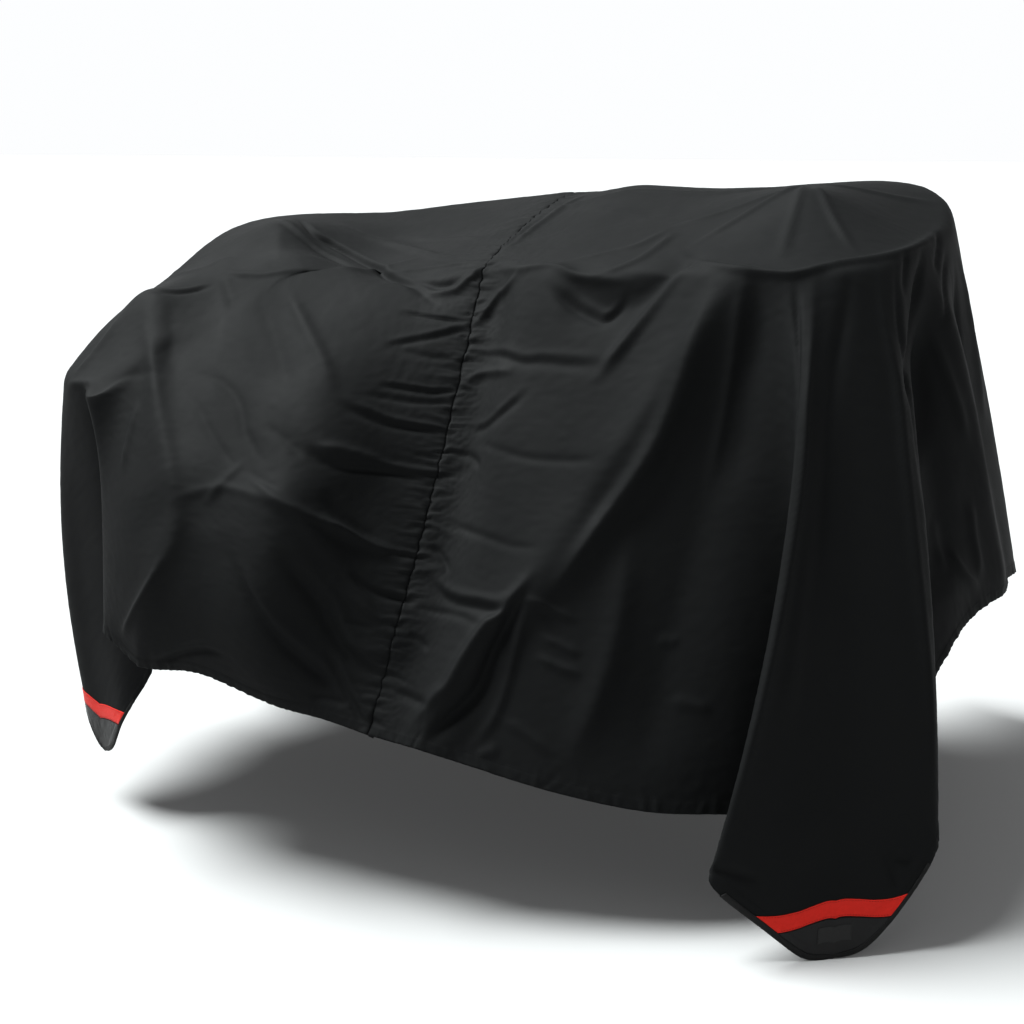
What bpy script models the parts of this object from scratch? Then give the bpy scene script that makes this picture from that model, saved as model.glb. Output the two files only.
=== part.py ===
"""Dust cover for an electronic drum kit, as it hangs over the kit.

Two cloth panels are joined by a gathered seam from front to back. Each front corner hangs as an
ear and has a patch, a coloured strip and a bound edge. One patch carries a blank label.
Run with: blender --background --python part.py
"""

import math

import bmesh
import bpy
import numpy as np

# Cut sizes of the cloth, metres. The seam is the line u = 0, and the hub is u = 0, v = 0.
LEFT_WIDTH = 1.28
RIGHT_WIDTH = 1.52
FRONT_LENGTH = 1.12
BACK_LENGTH = 0.93
CORNER_RADIUS = 0.095
CLOTH = 0.002
SEAM_GAP = 0.0006

# Where the hub lies over the kit, and the point under the top that the kit holds, above the floor.
HUB = (0.0, 0.12)
KIT_TOP = (0.0, 0.10, 1.077)

# Trim of a front corner, metres. The distances named for the corner run in along its diagonal.
STRIP_FROM_CORNER = 0.108
PATCH_TO_STRIP = 0.0015
STRIP_WIDTH = 0.028
STRIP_THICK = 0.0012
PATCH_THICK = 0.0012
LABEL_FROM_CORNER = 0.082
LABEL_LENGTH = 0.058
LABEL_HEIGHT = 0.025
LABEL_THICK = 0.001
BINDING_WIDTH = 0.008
BINDING_THICK = 0.0012
BINDING_REACH = 0.21
TRIM_GAP = 0.001

# Heights of the top, where the kit carries it: plan x and y, and height above the floor.
SPOT_COLUMNS = ("name", "x", "y", "height")
SPOTS = (
    ("right disc, near rim", 0.58, -0.21, 1.035),
    ("right disc, left rim", 0.36, -0.12, 1.050),
    ("right disc, right rim", 0.80, 0.12, 1.090),
    ("right disc, far rim", 0.62, 0.27, 1.161),
    ("right disc, back right rim", 0.77, 0.23, 1.132),
    ("between the back stands", 0.40, 0.29, 1.148),
    ("right disc, middle", 0.575, 0.035, 1.100),
    ("back edge, right", 0.45, 0.40, 1.135),
    ("back edge, middle", 0.18, 0.42, 1.130),
    ("drum rim, right", 0.20, -0.17, 1.015),
    ("drum rim, left", 0.015, -0.14, 1.010),
    ("stand behind the drums", 0.17, 0.28, 1.140),
    ("back of the seam", -0.04, 0.42, 1.130),
    ("left disc, near rim", -0.45, -0.20, 0.985),
    ("left disc, right rim", -0.31, 0.02, 1.020),
    ("left disc, middle", -0.49, 0.00, 1.045),
    ("left disc, far rim", -0.42, 0.25, 1.082),
    ("left shoulder, high", -0.66, 0.05, 1.046),
    ("left shoulder, low", -0.735, -0.20, 0.890),
    ("low disc, near rim", -0.62, -0.455, 0.800),
    ("low disc, left rim", -0.745, -0.38, 0.800),
    ("low disc, right rim", -0.50, -0.33, 0.880),
)

# Points that push up into the top: name, plan x, plan y, rise over the heights above, and reach.
PEAKS = (
    ("right disc's stand", 0.571, 0.039, 0.056, 0.25),
    ("left disc's stand", -0.486, 0.001, 0.036, 0.24),
    ("low disc's rod", -0.650, -0.265, 0.075, 0.20),
    ("back stand", 0.170, 0.283, 0.012, 0.20),
)

# The skirt: lines that run down the cloth, in order round the hem from the front of the seam.
# cut is the distance along the cut hem. rim is the plan point where the line leaves the top,
# mid its plan point half way down, and hem its lower end with its height above the floor.
SKIRT_COLUMNS = ("name", "cut", "rim_x", "rim_y", "mid_x", "mid_y", "hem_x", "hem_y", "hem_height")
SKIRT = (
    ("seam, front", 0.00, 0.000, -0.110, 0.030, -0.415, 0.010, -0.640, 0.285),
    ("front, right of seam", 0.20, 0.100, -0.150, 0.140, -0.420, 0.170, -0.640, 0.260),
    ("front, under the drums", 0.40, 0.200, -0.170, 0.270, -0.420, 0.330, -0.610, 0.220),
    ("front, wide face", 0.60, 0.330, -0.190, 0.410, -0.400, 0.480, -0.560, 0.190),
    ("front, before the pleat", 0.76, 0.450, -0.215, 0.530, -0.385, 0.590, -0.500, 0.180),
    ("right ear, left pleat", 1.00, 0.560, -0.225, 0.660, -0.360, 0.750, -0.400, 0.150),
    ("right ear, left ridge", 1.27, 0.630, -0.210, 0.655, -0.480, 0.600, -0.650, 0.124),
    ("right ear, left of the tip", 1.36, 0.648, -0.203, 0.687, -0.458, 0.681, -0.619, 0.050),
    ("right ear, corner", 1.52, 0.680, -0.190, 0.745, -0.420, 0.780, -0.585, -0.034),
    ("right ear, right of the tip", 1.68, 0.715, -0.152, 0.815, -0.360, 0.868, -0.505, 0.066),
    ("right ear, right ridge", 1.77, 0.735, -0.130, 0.850, -0.310, 0.912, -0.452, 0.148),
    ("right ear, right pleat", 1.99, 0.770, -0.050, 0.800, -0.170, 0.820, -0.270, 0.190),
    ("right side, front", 2.25, 0.795, 0.060, 0.855, 0.000, 0.883, -0.060, 0.390),
    ("right side, middle", 2.50, 0.805, 0.150, 0.876, 0.160, 0.941, 0.170, 0.425),
    ("right side, back", 2.75, 0.785, 0.240, 0.870, 0.330, 0.939, 0.400, 0.400),
    ("back right ear, side pleat", 2.98, 0.750, 0.300, 0.820, 0.400, 0.860, 0.460, 0.380),
    ("back right ear, side ridge", 3.27, 0.720, 0.335, 0.840, 0.520, 0.900, 0.630, 0.330),
    ("back right ear, corner", 3.57, 0.680, 0.360, 0.780, 0.550, 0.830, 0.700, 0.200),
    ("back right ear, back ridge", 3.87, 0.630, 0.380, 0.680, 0.560, 0.680, 0.740, 0.360),
    ("back right ear, back pleat", 4.10, 0.550, 0.390, 0.580, 0.470, 0.600, 0.520, 0.420),
    ("back, right", 4.40, 0.400, 0.400, 0.410, 0.500, 0.410, 0.580, 0.500),
    ("back, right of seam", 4.75, 0.180, 0.420, 0.190, 0.500, 0.190, 0.550, 0.540),
    ("seam, back", 5.09, 0.000, 0.420, 0.000, 0.510, 0.000, 0.570, 0.540),
    ("back, left of seam", 5.35, -0.220, 0.380, -0.230, 0.480, -0.240, 0.540, 0.480),
    ("back, left", 5.60, -0.380, 0.320, -0.410, 0.420, -0.430, 0.500, 0.400),
    ("back left ear, back pleat", 5.85, -0.460, 0.280, -0.500, 0.340, -0.520, 0.380, 0.420),
    ("back left ear, back ridge", 6.10, -0.520, 0.240, -0.580, 0.400, -0.590, 0.540, 0.260),
    ("back left ear, corner", 6.37, -0.570, 0.190, -0.670, 0.330, -0.750, 0.470, 0.080),
    ("back left ear, side ridge", 6.64, -0.620, 0.130, -0.760, 0.210, -0.840, 0.290, 0.250),
    ("back left ear, side pleat", 6.88, -0.650, 0.060, -0.710, 0.090, -0.740, 0.120, 0.360),
    ("left side, back", 7.15, -0.680, -0.020, -0.750, 0.000, -0.790, 0.000, 0.360),
    ("left side, middle", 7.50, -0.720, -0.140, -0.780, -0.160, -0.800, -0.180, 0.340),
    ("left side, front", 7.85, -0.745, -0.260, -0.780, -0.290, -0.775, -0.310, 0.310),
    ("left ear, side", 8.08, -0.755, -0.330, -0.772, -0.350, -0.745, -0.350, 0.260),
    ("left ear, outer ridge", 8.31, -0.750, -0.380, -0.742, -0.425, -0.697, -0.440, 0.150),
    ("left ear, corner", 8.42, -0.728, -0.405, -0.688, -0.445, -0.638, -0.470, 0.062),
    ("left ear, inner edge", 8.56, -0.700, -0.420, -0.615, -0.470, -0.580, -0.505, 0.165),
    ("left ear, pleat", 8.80, -0.670, -0.430, -0.545, -0.465, -0.505, -0.492, 0.300),
    ("front, left ridge", 9.06, -0.610, -0.455, -0.575, -0.525, -0.545, -0.580, 0.375),
    ("front, left", 9.20, -0.530, -0.330, -0.490, -0.560, -0.450, -0.600, 0.340),
    ("front, low drum's left", 9.38, -0.400, -0.195, -0.330, -0.555, -0.305, -0.630, 0.345),
    ("front, low drum's right", 9.52, -0.200, -0.170, -0.170, -0.575, -0.160, -0.640, 0.310),
    ("front, left of seam", 9.62, -0.070, -0.140, -0.060, -0.470, -0.070, -0.640, 0.300),
)

# Folds that stand out of the lines above: name, cut point (u, v) of the upper end and of the lower
# end, how far the middle bends to the left of the run, height (a valley is negative), and the width
# at the upper and the lower end.
FOLDS = (
    ("tension ridge from the right disc", 0.54, -0.30, 0.05, -1.24, 0.00, 0.030, 0.038, 0.090),
    ("valley under that ridge", 0.40, -0.58, 0.17, -1.18, 0.00, -0.020, 0.050, 0.080),
    ("swag between drums and disc", 0.17, -0.30, 0.43, -0.27, -0.08, -0.020, 0.025, 0.025),
    ("valley below the disc's front", 0.55, -0.33, 0.56, -1.10, 0.00, -0.016, 0.030, 0.090),
    ("valley right of the left disc", -0.46, -0.11, 0.00, -0.32, -0.02, -0.016, 0.030, 0.045),
    ("ridge from the low disc's rod", -0.67, -0.35, -0.40, -0.80, 0.00, 0.022, 0.040, 0.050),
    ("ridge down to the left hem", -0.39, -0.72, -0.52, -1.20, 0.00, 0.014, 0.040, 0.060),
    ("low drum's rim", -0.46, -0.76, -0.16, -0.67, 0.00, 0.005, 0.030, 0.030),
    ("ridge from the low drum to the seam", -0.23, -0.66, 0.04, -1.00, 0.00, 0.014, 0.035, 0.050),
    ("hollow under the low drum", -0.32, -0.78, -0.06, -1.10, 0.00, -0.006, 0.040, 0.060),
    ("ridge from the left disc", -0.44, -0.22, -0.06, -0.68, 0.00, 0.007, 0.040, 0.060),
    ("valley left of that ridge", -0.58, -0.30, -0.23, -0.72, 0.00, -0.010, 0.050, 0.070),
    ("right side, first valley", 0.85, -0.19, 1.42, -0.38, 0.00, -0.026, 0.020, 0.060),
    ("right side, ridge", 0.82, -0.14, 1.60, -0.22, 0.00, 0.024, 0.020, 0.060),
    ("right side, second valley", 0.84, -0.06, 1.66, -0.05, 0.00, -0.016, 0.025, 0.060),
    ("right side, back valley", 0.82, 0.13, 1.66, 0.22, 0.00, -0.018, 0.025, 0.070),
    ("back, right valley", 0.42, 0.30, 0.56, 1.10, 0.00, -0.024, 0.025, 0.070),
    ("back, ridge", 0.22, 0.31, 0.28, 1.10, 0.00, 0.020, 0.025, 0.060),
    ("back, valley by the seam", 0.08, 0.32, 0.10, 1.10, 0.00, -0.018, 0.025, 0.055),
    ("back, valley left of the seam", -0.14, 0.30, -0.18, 1.10, 0.00, -0.022, 0.025, 0.065),
    ("back, left ridge", -0.28, 0.26, -0.38, 1.10, 0.00, 0.020, 0.025, 0.060),
    ("left side, back valley", -0.70, 0.00, -1.46, 0.10, 0.00, -0.020, 0.025, 0.065),
    ("left side, ridge", -0.73, -0.10, -1.46, -0.06, 0.00, 0.020, 0.025, 0.060),
    ("left side, front valley", -0.76, -0.22, -1.46, -0.26, 0.00, -0.020, 0.025, 0.060),
)
FOLD_CREST = 0.014
FOLD_FADE = 0.18

# Grid lines of the panels: cells over the plain cloth and over the corner blocks by the hem.
CORNER_BLOCK = 0.25
CORNER_CELLS = 12
LEFT_CELLS = 23
RIGHT_CELLS = 27
LENGTH_CELLS = 34
FINE = 4
SOFTEN_PASSES = 6

# Cells of the trims, and the short side left at each end of a patch.
STRIP_CELLS = (16, 3)
PATCH_CELLS = (16, 6)
LABEL_CELLS = (4, 2)
BINDING_STEPS = 34
PATCH_SIDE = 0.004

# How closely the skirt's lines are sampled, and how the line through a point is searched for.
SKIRT_SAMPLES = 4000
LINE_SEARCH = 0.9
LINE_STEPS = 30
ROUND_STEPS = 12


def column(rows, columns, name):
    return np.array([row[columns.index(name)] for row in rows])


def cut_lines():
    """The cut positions of the grid lines across (u) and along (v) the cloth."""
    left = np.concatenate([
        np.linspace(-LEFT_WIDTH, CORNER_BLOCK - LEFT_WIDTH, CORNER_CELLS + 1),
        np.linspace(CORNER_BLOCK - LEFT_WIDTH, 0, LEFT_CELLS + 1)[1:],
    ])
    right = np.concatenate([
        np.linspace(0, RIGHT_WIDTH - CORNER_BLOCK, RIGHT_CELLS + 1),
        np.linspace(RIGHT_WIDTH - CORNER_BLOCK, RIGHT_WIDTH, CORNER_CELLS + 1)[1:],
    ])
    along = np.concatenate([
        np.linspace(-FRONT_LENGTH, CORNER_BLOCK - FRONT_LENGTH, CORNER_CELLS + 1),
        np.linspace(CORNER_BLOCK - FRONT_LENGTH, BACK_LENGTH, LENGTH_CELLS + 1)[1:],
    ])
    return left, right, along


def finer(lines, steps):
    index = np.arange((len(lines) - 1) * steps + 1) / steps
    return np.interp(index, np.arange(len(lines)), lines)


def rounded(u, v):
    """Moves points of the sharp rectangle in, so that its corners are round."""
    u, v = u.copy(), v.copy()
    block, inner = CORNER_BLOCK, CORNER_BLOCK - CORNER_RADIUS
    for side, across in ((-1, LEFT_WIDTH), (1, RIGHT_WIDTH)):
        for end, along in ((-1, FRONT_LENGTH), (1, BACK_LENGTH)):
            x = side * u - (across - block)
            y = end * v - (along - block)
            inside = (x > 0) & (y > 0)
            angle = np.arctan2(y[inside], x[inside])
            both = inner * (np.cos(angle) + np.sin(angle))
            sharp = block / np.maximum(np.cos(angle), np.sin(angle))
            arc = both + np.sqrt(np.maximum(both**2 - 2 * inner**2 + CORNER_RADIUS**2, 0))
            straight = np.minimum(np.cos(angle), np.sin(angle)) * sharp < inner
            reach = np.where(straight, sharp, np.minimum(arc, sharp))
            near = np.maximum(x[inside], y[inside]) / block
            scale = 1 + near**2 * (reach / sharp - 1)
            u[inside] = side * (across - block + x[inside] * scale)
            v[inside] = end * (along - block + y[inside] * scale)
    return u, v


def on_hem(cut):
    """The cut point at a distance along the hem, counterclockwise from the front of the seam."""
    length = FRONT_LENGTH + BACK_LENGTH
    corners = np.cumsum([0, RIGHT_WIDTH, length, RIGHT_WIDTH + LEFT_WIDTH, length, LEFT_WIDTH])
    u = np.interp(cut, corners, [0, RIGHT_WIDTH, RIGHT_WIDTH, -LEFT_WIDTH, -LEFT_WIDTH, 0])
    v = np.interp(
        cut,
        corners,
        [-FRONT_LENGTH, -FRONT_LENGTH, BACK_LENGTH, BACK_LENGTH, -FRONT_LENGTH, -FRONT_LENGTH],
    )
    return u, v


def periodic(cut, keys, values, sharp, period):
    """Smooth values between the keys of a closed loop. A sharp key has a slope of its own each way."""
    keys = np.concatenate([[keys[-1] - period], keys, [keys[0] + period, keys[1] + period]])
    values = np.concatenate([values[-1:], values, values[:2]])
    sharp = np.concatenate([sharp, sharp[:1]])
    gaps = np.diff(keys)
    steps = np.diff(values) / gaps
    slopes = (steps[:-1] * gaps[1:] + steps[1:] * gaps[:-1]) / (gaps[1:] + gaps[:-1])
    cell = np.clip(np.searchsorted(keys, cut, side="right") - 1, 1, len(keys) - 3)
    gap = gaps[cell]
    t = (cut - keys[cell]) / gap
    start, end = values[cell], values[cell + 1]
    slope_in = np.where(sharp[cell - 1], steps[cell], slopes[cell - 1]) * gap
    slope_out = np.where(sharp[cell], steps[cell], slopes[cell]) * gap
    return (
        start * (2 * t**3 - 3 * t**2 + 1)
        + slope_in * (t**3 - 2 * t**2 + t)
        + end * (3 * t**2 - 2 * t**3)
        + slope_out * (t**3 - t**2)
    )


def spread(squared):
    """The thin plate's rule for how a height fades with squared distance."""
    return 0.5 * squared * np.log(np.maximum(squared, 1e-12))


def spot_weights():
    x, y = column(SPOTS, SPOT_COLUMNS, "x"), column(SPOTS, SPOT_COLUMNS, "y")
    heights = column(SPOTS, SPOT_COLUMNS, "height")
    count = len(SPOTS)
    system = np.zeros((count + 3, count + 3))
    system[:count, :count] = spread((x[:, None] - x) ** 2 + (y[:, None] - y) ** 2)
    system[:count, count:] = np.stack([np.ones(count), x, y], axis=1)
    system[count:, :count] = system[:count, count:].T
    return np.linalg.solve(system, np.concatenate([heights, np.zeros(3)]))


SPOT_WEIGHTS = spot_weights()


def top_height(x, y):
    """The height of the top over the plan point x, y."""
    count = len(SPOTS)
    height = SPOT_WEIGHTS[count] + SPOT_WEIGHTS[count + 1] * x + SPOT_WEIGHTS[count + 2] * y
    for weight, (_, spot_x, spot_y, _) in zip(SPOT_WEIGHTS, SPOTS):
        height = height + weight * spread((x - spot_x) ** 2 + (y - spot_y) ** 2)
    for _, peak_x, peak_y, rise, reach in PEAKS:
        away = np.sqrt((x - peak_x) ** 2 + (y - peak_y) ** 2 + 0.0001) / reach
        height = height + rise * np.maximum(1 - away, 0) ** 1.5
    return height


class Skirt:
    """The lines of the skirt, sampled closely round the hem."""

    def __init__(self):
        self.period = 2 * (LEFT_WIDTH + RIGHT_WIDTH + FRONT_LENGTH + BACK_LENGTH)
        self.cuts = np.linspace(0, self.period, SKIRT_SAMPLES + 1)
        keys = column(SKIRT, SKIRT_COLUMNS, "cut")
        corner = np.array([row[0].endswith("corner") for row in SKIRT])
        self.lines = {}
        for name in SKIRT_COLUMNS[2:]:
            sharp = corner & name.startswith("hem")
            values = column(SKIRT, SKIRT_COLUMNS, name)
            self.lines[name] = periodic(self.cuts % self.period, keys, values, sharp, self.period)
        rim_x, rim_y = self.lines["rim_x"], self.lines["rim_y"]
        self.lines["rim_height"] = top_height(rim_x, rim_y)
        out = np.hypot(rim_x - HUB[0], rim_y - HUB[1])
        fall = self.lines["rim_height"] - top_height(*HUB)
        slope = np.hypot(out, fall) / out
        self.lines["rim_u"] = (rim_x - HUB[0]) * slope
        self.lines["rim_v"] = (rim_y - HUB[1]) * slope
        self.lines["hem_u"], self.lines["hem_v"] = on_hem(self.cuts)

    def read(self, name, cut):
        return np.interp(cut % self.period, self.cuts, self.lines[name])

    def passing(self, u, v, of_top):
        """Where on the hem the line through each cut point ends, on the top or on the skirt."""
        across = np.where(u < 0, LEFT_WIDTH, RIGHT_WIDTH)
        along = np.where(v < 0, FRONT_LENGTH, BACK_LENGTH)
        out = np.maximum(np.maximum(np.abs(u) / across, np.abs(v) / along), 1e-9)
        turn = np.unwrap(np.arctan2(self.lines["hem_v"], self.lines["hem_u"]))
        angle = (np.arctan2(v / out, u / out) - turn[0]) % (2 * math.pi) + turn[0]
        middle = np.interp(angle, turn, self.cuts)
        low, high = middle - LINE_SEARCH, middle + LINE_SEARCH
        for _ in range(LINE_STEPS):
            middle = (low + high) / 2
            rim_u, rim_v = self.read("rim_u", middle), self.read("rim_v", middle)
            if of_top:
                side = rim_u * v - rim_v * u
            else:
                run_u, run_v = self.read("hem_u", middle) - rim_u, self.read("hem_v", middle) - rim_v
                side = run_u * (v - rim_v) - run_v * (u - rim_u)
            low = np.where(side > 0, middle, low)
            high = np.where(side > 0, high, middle)
        return middle


def draped(u, v):
    """The place over the kit, with its height above the floor, of points of the cut cloth."""
    skirt = Skirt()
    cut = skirt.passing(u, v, of_top=True)
    rim = np.hypot(skirt.read("rim_u", cut), skirt.read("rim_v", cut))
    out = np.hypot(u, v) / rim
    x = HUB[0] + (skirt.read("rim_x", cut) - HUB[0]) * out
    y = HUB[1] + (skirt.read("rim_y", cut) - HUB[1]) * out
    height = top_height(x, y)
    hangs = out > 1
    cut = skirt.passing(u, v, of_top=False)
    line = {name: skirt.read(name, cut) for name in skirt.lines}
    run = np.hypot(line["hem_u"] - line["rim_u"], line["hem_v"] - line["rim_v"])
    down = np.clip(np.hypot(u - line["rim_u"], v - line["rim_v"]) / run, 0, 1)
    near, middle, far = (1 - down) * (1 - 2 * down), 4 * down * (1 - down), down * (2 * down - 1)
    x = np.where(hangs, near * line["rim_x"] + middle * line["mid_x"] + far * line["hem_x"], x)
    y = np.where(hangs, near * line["rim_y"] + middle * line["mid_y"] + far * line["hem_y"], y)
    fall = line["hem_height"] - line["rim_height"]
    height = np.where(hangs, line["rim_height"] + fall * down, height)
    return np.stack([x, y, height], axis=-1)


def folded(places, u, v):
    """Moves the cloth out along its ridges and in along its valleys."""
    outward = directions(places)
    lift = np.zeros(u.shape)
    for _, from_u, from_v, to_u, to_v, bend, rise, from_width, to_width in FOLDS:
        run_u, run_v = to_u - from_u, to_v - from_v
        length = math.hypot(run_u, run_v)
        along = ((u - from_u) * run_u + (v - from_v) * run_v) / length**2
        inside = np.clip(along, 0, 1)
        aside = ((v - from_v) * run_u - (u - from_u) * run_v) / length
        aside = aside - 4 * bend * inside * (1 - inside)
        width = from_width + (to_width - from_width) * inside
        fade = np.clip(along / FOLD_FADE, 0, 1) * np.clip((1 - along) / FOLD_FADE, 0, 1)
        away = np.sqrt(aside**2 + FOLD_CREST**2) - FOLD_CREST
        lift += rise * np.exp(-away / width) * fade**2 * (3 - 2 * fade)
    return places + outward * lift[..., None]


def directions(places):
    """The outward direction at each grid point."""
    outward = np.cross(np.gradient(places, axis=0), np.gradient(places, axis=1))
    return outward / np.linalg.norm(outward, axis=-1, keepdims=True)


def softened(points, passes):
    """Rounds the cloth's creases a little: each inner point moves towards its neighbours."""
    for _ in range(passes):
        for axis in (0, 1):
            moved = np.swapaxes(points, 0, axis)
            moved[1:-1] = 0.5 * moved[1:-1] + 0.25 * (moved[:-2] + moved[2:])
        for i, beside_i in ((0, 1), (-1, -2)):
            for j, beside_j in ((0, 1), (-1, -2)):
                level = points[i, beside_j] + points[beside_i, j] - points[beside_i, beside_j]
                points[i, j] = level
    return points


class Cloth:
    """The draped cloth as a fine grid of places and outward directions."""

    def __init__(self):
        left, right, along = cut_lines()
        self.seam = (len(left) - 1) * FINE
        self.u = finer(np.concatenate([left, right[1:]]), FINE)
        self.v = finer(along, FINE)
        u, v = rounded(*np.meshgrid(self.u, self.v, indexing="ij"))
        self.places = softened(folded(draped(u, v), u, v), SOFTEN_PASSES) - np.array(KIT_TOP)
        self.outward = directions(self.places)

    def at(self, u, v, lift):
        """The place of the cut point u, v on the panels' own faces, lifted off their middle."""
        u, v = unrounded(u, v)
        lines_u, lines_v = self.u[::FINE], self.v[::FINE]
        at_u = np.interp(u, lines_u, np.arange(len(lines_u)))
        at_v = np.interp(v, lines_v, np.arange(len(lines_v)))
        i = min(int(at_u), len(lines_u) - 2)
        j = min(int(at_v), len(lines_v) - 2)
        a, b = at_u - i, at_v - j
        weights = np.array([[(1 - a) * (1 - b), (1 - a) * b], [a * (1 - b), a * b]])[..., None]
        corners = slice(i * FINE, (i + 1) * FINE + 1, FINE), slice(j * FINE, (j + 1) * FINE + 1, FINE)
        place = (self.places[corners] * weights).sum(axis=(0, 1))
        outward = (self.outward[corners] * weights).sum(axis=(0, 1))
        return place + outward / np.linalg.norm(outward) * lift


def unrounded(u, v):
    """The point of the sharp rectangle that rounded moves to u, v."""
    sharp_u, sharp_v = u, v
    for _ in range(ROUND_STEPS):
        moved_u, moved_v = rounded(np.array([sharp_u]), np.array([sharp_v]))
        sharp_u += u - moved_u[0]
        sharp_v += v - moved_v[0]
    return sharp_u, sharp_v


# end of the drape


def material(name, color, roughness):
    made = bpy.data.materials.new(name)
    made.use_nodes = True
    shader = made.node_tree.nodes["Principled BSDF"]
    shader.inputs["Base Color"].default_value = (*color, 1)
    shader.inputs["Roughness"].default_value = roughness
    shader.inputs["Metallic"].default_value = 0
    return made


def add(name, mesh_shape, finish, collection):
    """A new object from mesh_shape, which it frees."""
    mesh = bpy.data.meshes.new(name)
    mesh_shape.to_mesh(mesh)
    mesh_shape.free()
    mesh.materials.append(finish)
    made = bpy.data.objects.new(name, mesh)
    collection.objects.link(made)
    mesh.shade_smooth()
    return made


def cut_across(shape, lean):
    """Cuts each face of a grid in two, along the rising (1) or falling (-1) diagonal lean picks."""
    for face in list(shape.faces):
        centre = face.calc_center_median()
        rises = lean(centre.x + 0.5, centre.y + 0.5)
        order = sorted(face.verts, key=lambda vertex: vertex.co.x + rises * vertex.co.y)
        bmesh.utils.face_split(face, order[0], order[-1])


def add_sheet(name, cells, place, thickness, finish, collection, lean=None):
    """A sheet of even thickness whose middle passes through place(a, b), a and b from 0 to 1."""
    shape = bmesh.new()
    bmesh.ops.create_grid(shape, x_segments=cells[0], y_segments=cells[1], size=0.5)
    if lean:
        cut_across(shape, lean)
    for vertex in shape.verts:
        vertex.co = place(vertex.co.x + 0.5, vertex.co.y + 0.5)
    sheet = add(name, shape, finish, collection)
    solid = sheet.modifiers.new("thickness", "SOLIDIFY")
    solid.thickness = thickness
    solid.offset = 0
    return sheet


def add_panel(name, side, cloth, finish, collection):
    """The cloth left (-1) or right (1) of the seam."""
    first, last = (0, cloth.seam) if side < 0 else (cloth.seam, len(cloth.u) - 1)
    columns, rows = (last - first) // FINE, (len(cloth.v) - 1) // FINE

    def place(a, b):
        i = first + round(a * columns) * FINE
        j = round(b * rows) * FINE
        here = cloth.places[i, j]
        if i != cloth.seam:
            return here
        away = cloth.places[i + side, j] - here
        return here + away / np.linalg.norm(away) * SEAM_GAP / 2

    def lean(a, b):
        return side if cloth.v[int(b * rows) * FINE] > 0 else -side

    return add_sheet(name, (columns, rows), place, CLOTH, finish, collection, lean)


def corner_point(side, inward, across):
    """The cut point that lies inward of a front corner, and across its diagonal to the side hem."""
    across_width = LEFT_WIDTH if side < 0 else RIGHT_WIDTH
    u = side * (across_width - (inward - across) / math.sqrt(2))
    v = (inward + across) / math.sqrt(2) - FRONT_LENGTH
    return u, v


def outline(side, run):
    """A point of a front corner's rounded edge and its inward direction, run from its middle."""
    half_arc = CORNER_RADIUS * math.pi / 4
    angle = max(-1, min(1, run / half_arc)) * math.pi / 4
    straight = max(abs(run) - half_arc, 0) * (1 if run > 0 else -1)
    centre = CORNER_RADIUS * math.sqrt(2)
    inward = centre - CORNER_RADIUS * math.cos(angle)
    across = CORNER_RADIUS * math.sin(angle)
    inward += abs(straight) / math.sqrt(2)
    across += straight / math.sqrt(2)
    return (inward, across), (math.cos(angle), -math.sin(angle))


def add_strip(name, side, cloth, finish, collection):
    inset = (BINDING_WIDTH + TRIM_GAP) * math.sqrt(2)
    lift = CLOTH / 2 + TRIM_GAP + STRIP_THICK / 2

    def place(a, b):
        inward = STRIP_FROM_CORNER + b * STRIP_WIDTH
        across = (2 * a - 1) * (inward - inset)
        return cloth.at(*corner_point(side, inward, across * side), lift)

    return add_sheet(name, STRIP_CELLS, place, STRIP_THICK, finish, collection)


def add_patch(name, side, cloth, finish, collection):
    """The piece between the strip and the corner's round edge."""
    inset = BINDING_WIDTH + TRIM_GAP
    lift = CLOTH / 2 + TRIM_GAP + PATCH_THICK / 2
    upper = STRIP_FROM_CORNER - PATCH_TO_STRIP
    half = upper - inset * math.sqrt(2)
    half_arc = CORNER_RADIUS * math.pi / 4
    lower_end = upper - PATCH_SIDE - inset / math.sqrt(2)
    reach = half_arc + lower_end * math.sqrt(2) - CORNER_RADIUS

    def place(a, b):
        run = (2 * a - 1) * side
        (inward, across), (turn_in, turn_across) = outline(side, run * reach)
        low = (inward + turn_in * inset, across + turn_across * inset)
        high = (upper, run * half)
        point = [(1 - b) * one + b * other for one, other in zip(low, high)]
        return cloth.at(*corner_point(side, *point), lift)

    return add_sheet(name, PATCH_CELLS, place, PATCH_THICK, finish, collection)


def add_label(name, side, cloth, finish, collection):
    lift = CLOTH / 2 + PATCH_THICK + 2 * TRIM_GAP + LABEL_THICK / 2

    def place(a, b):
        inward = LABEL_FROM_CORNER + (b - 0.5) * LABEL_HEIGHT
        across = (a - 0.5) * LABEL_LENGTH * side
        return cloth.at(*corner_point(side, inward, across), lift)

    return add_sheet(name, LABEL_CELLS, place, LABEL_THICK, finish, collection)


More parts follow.
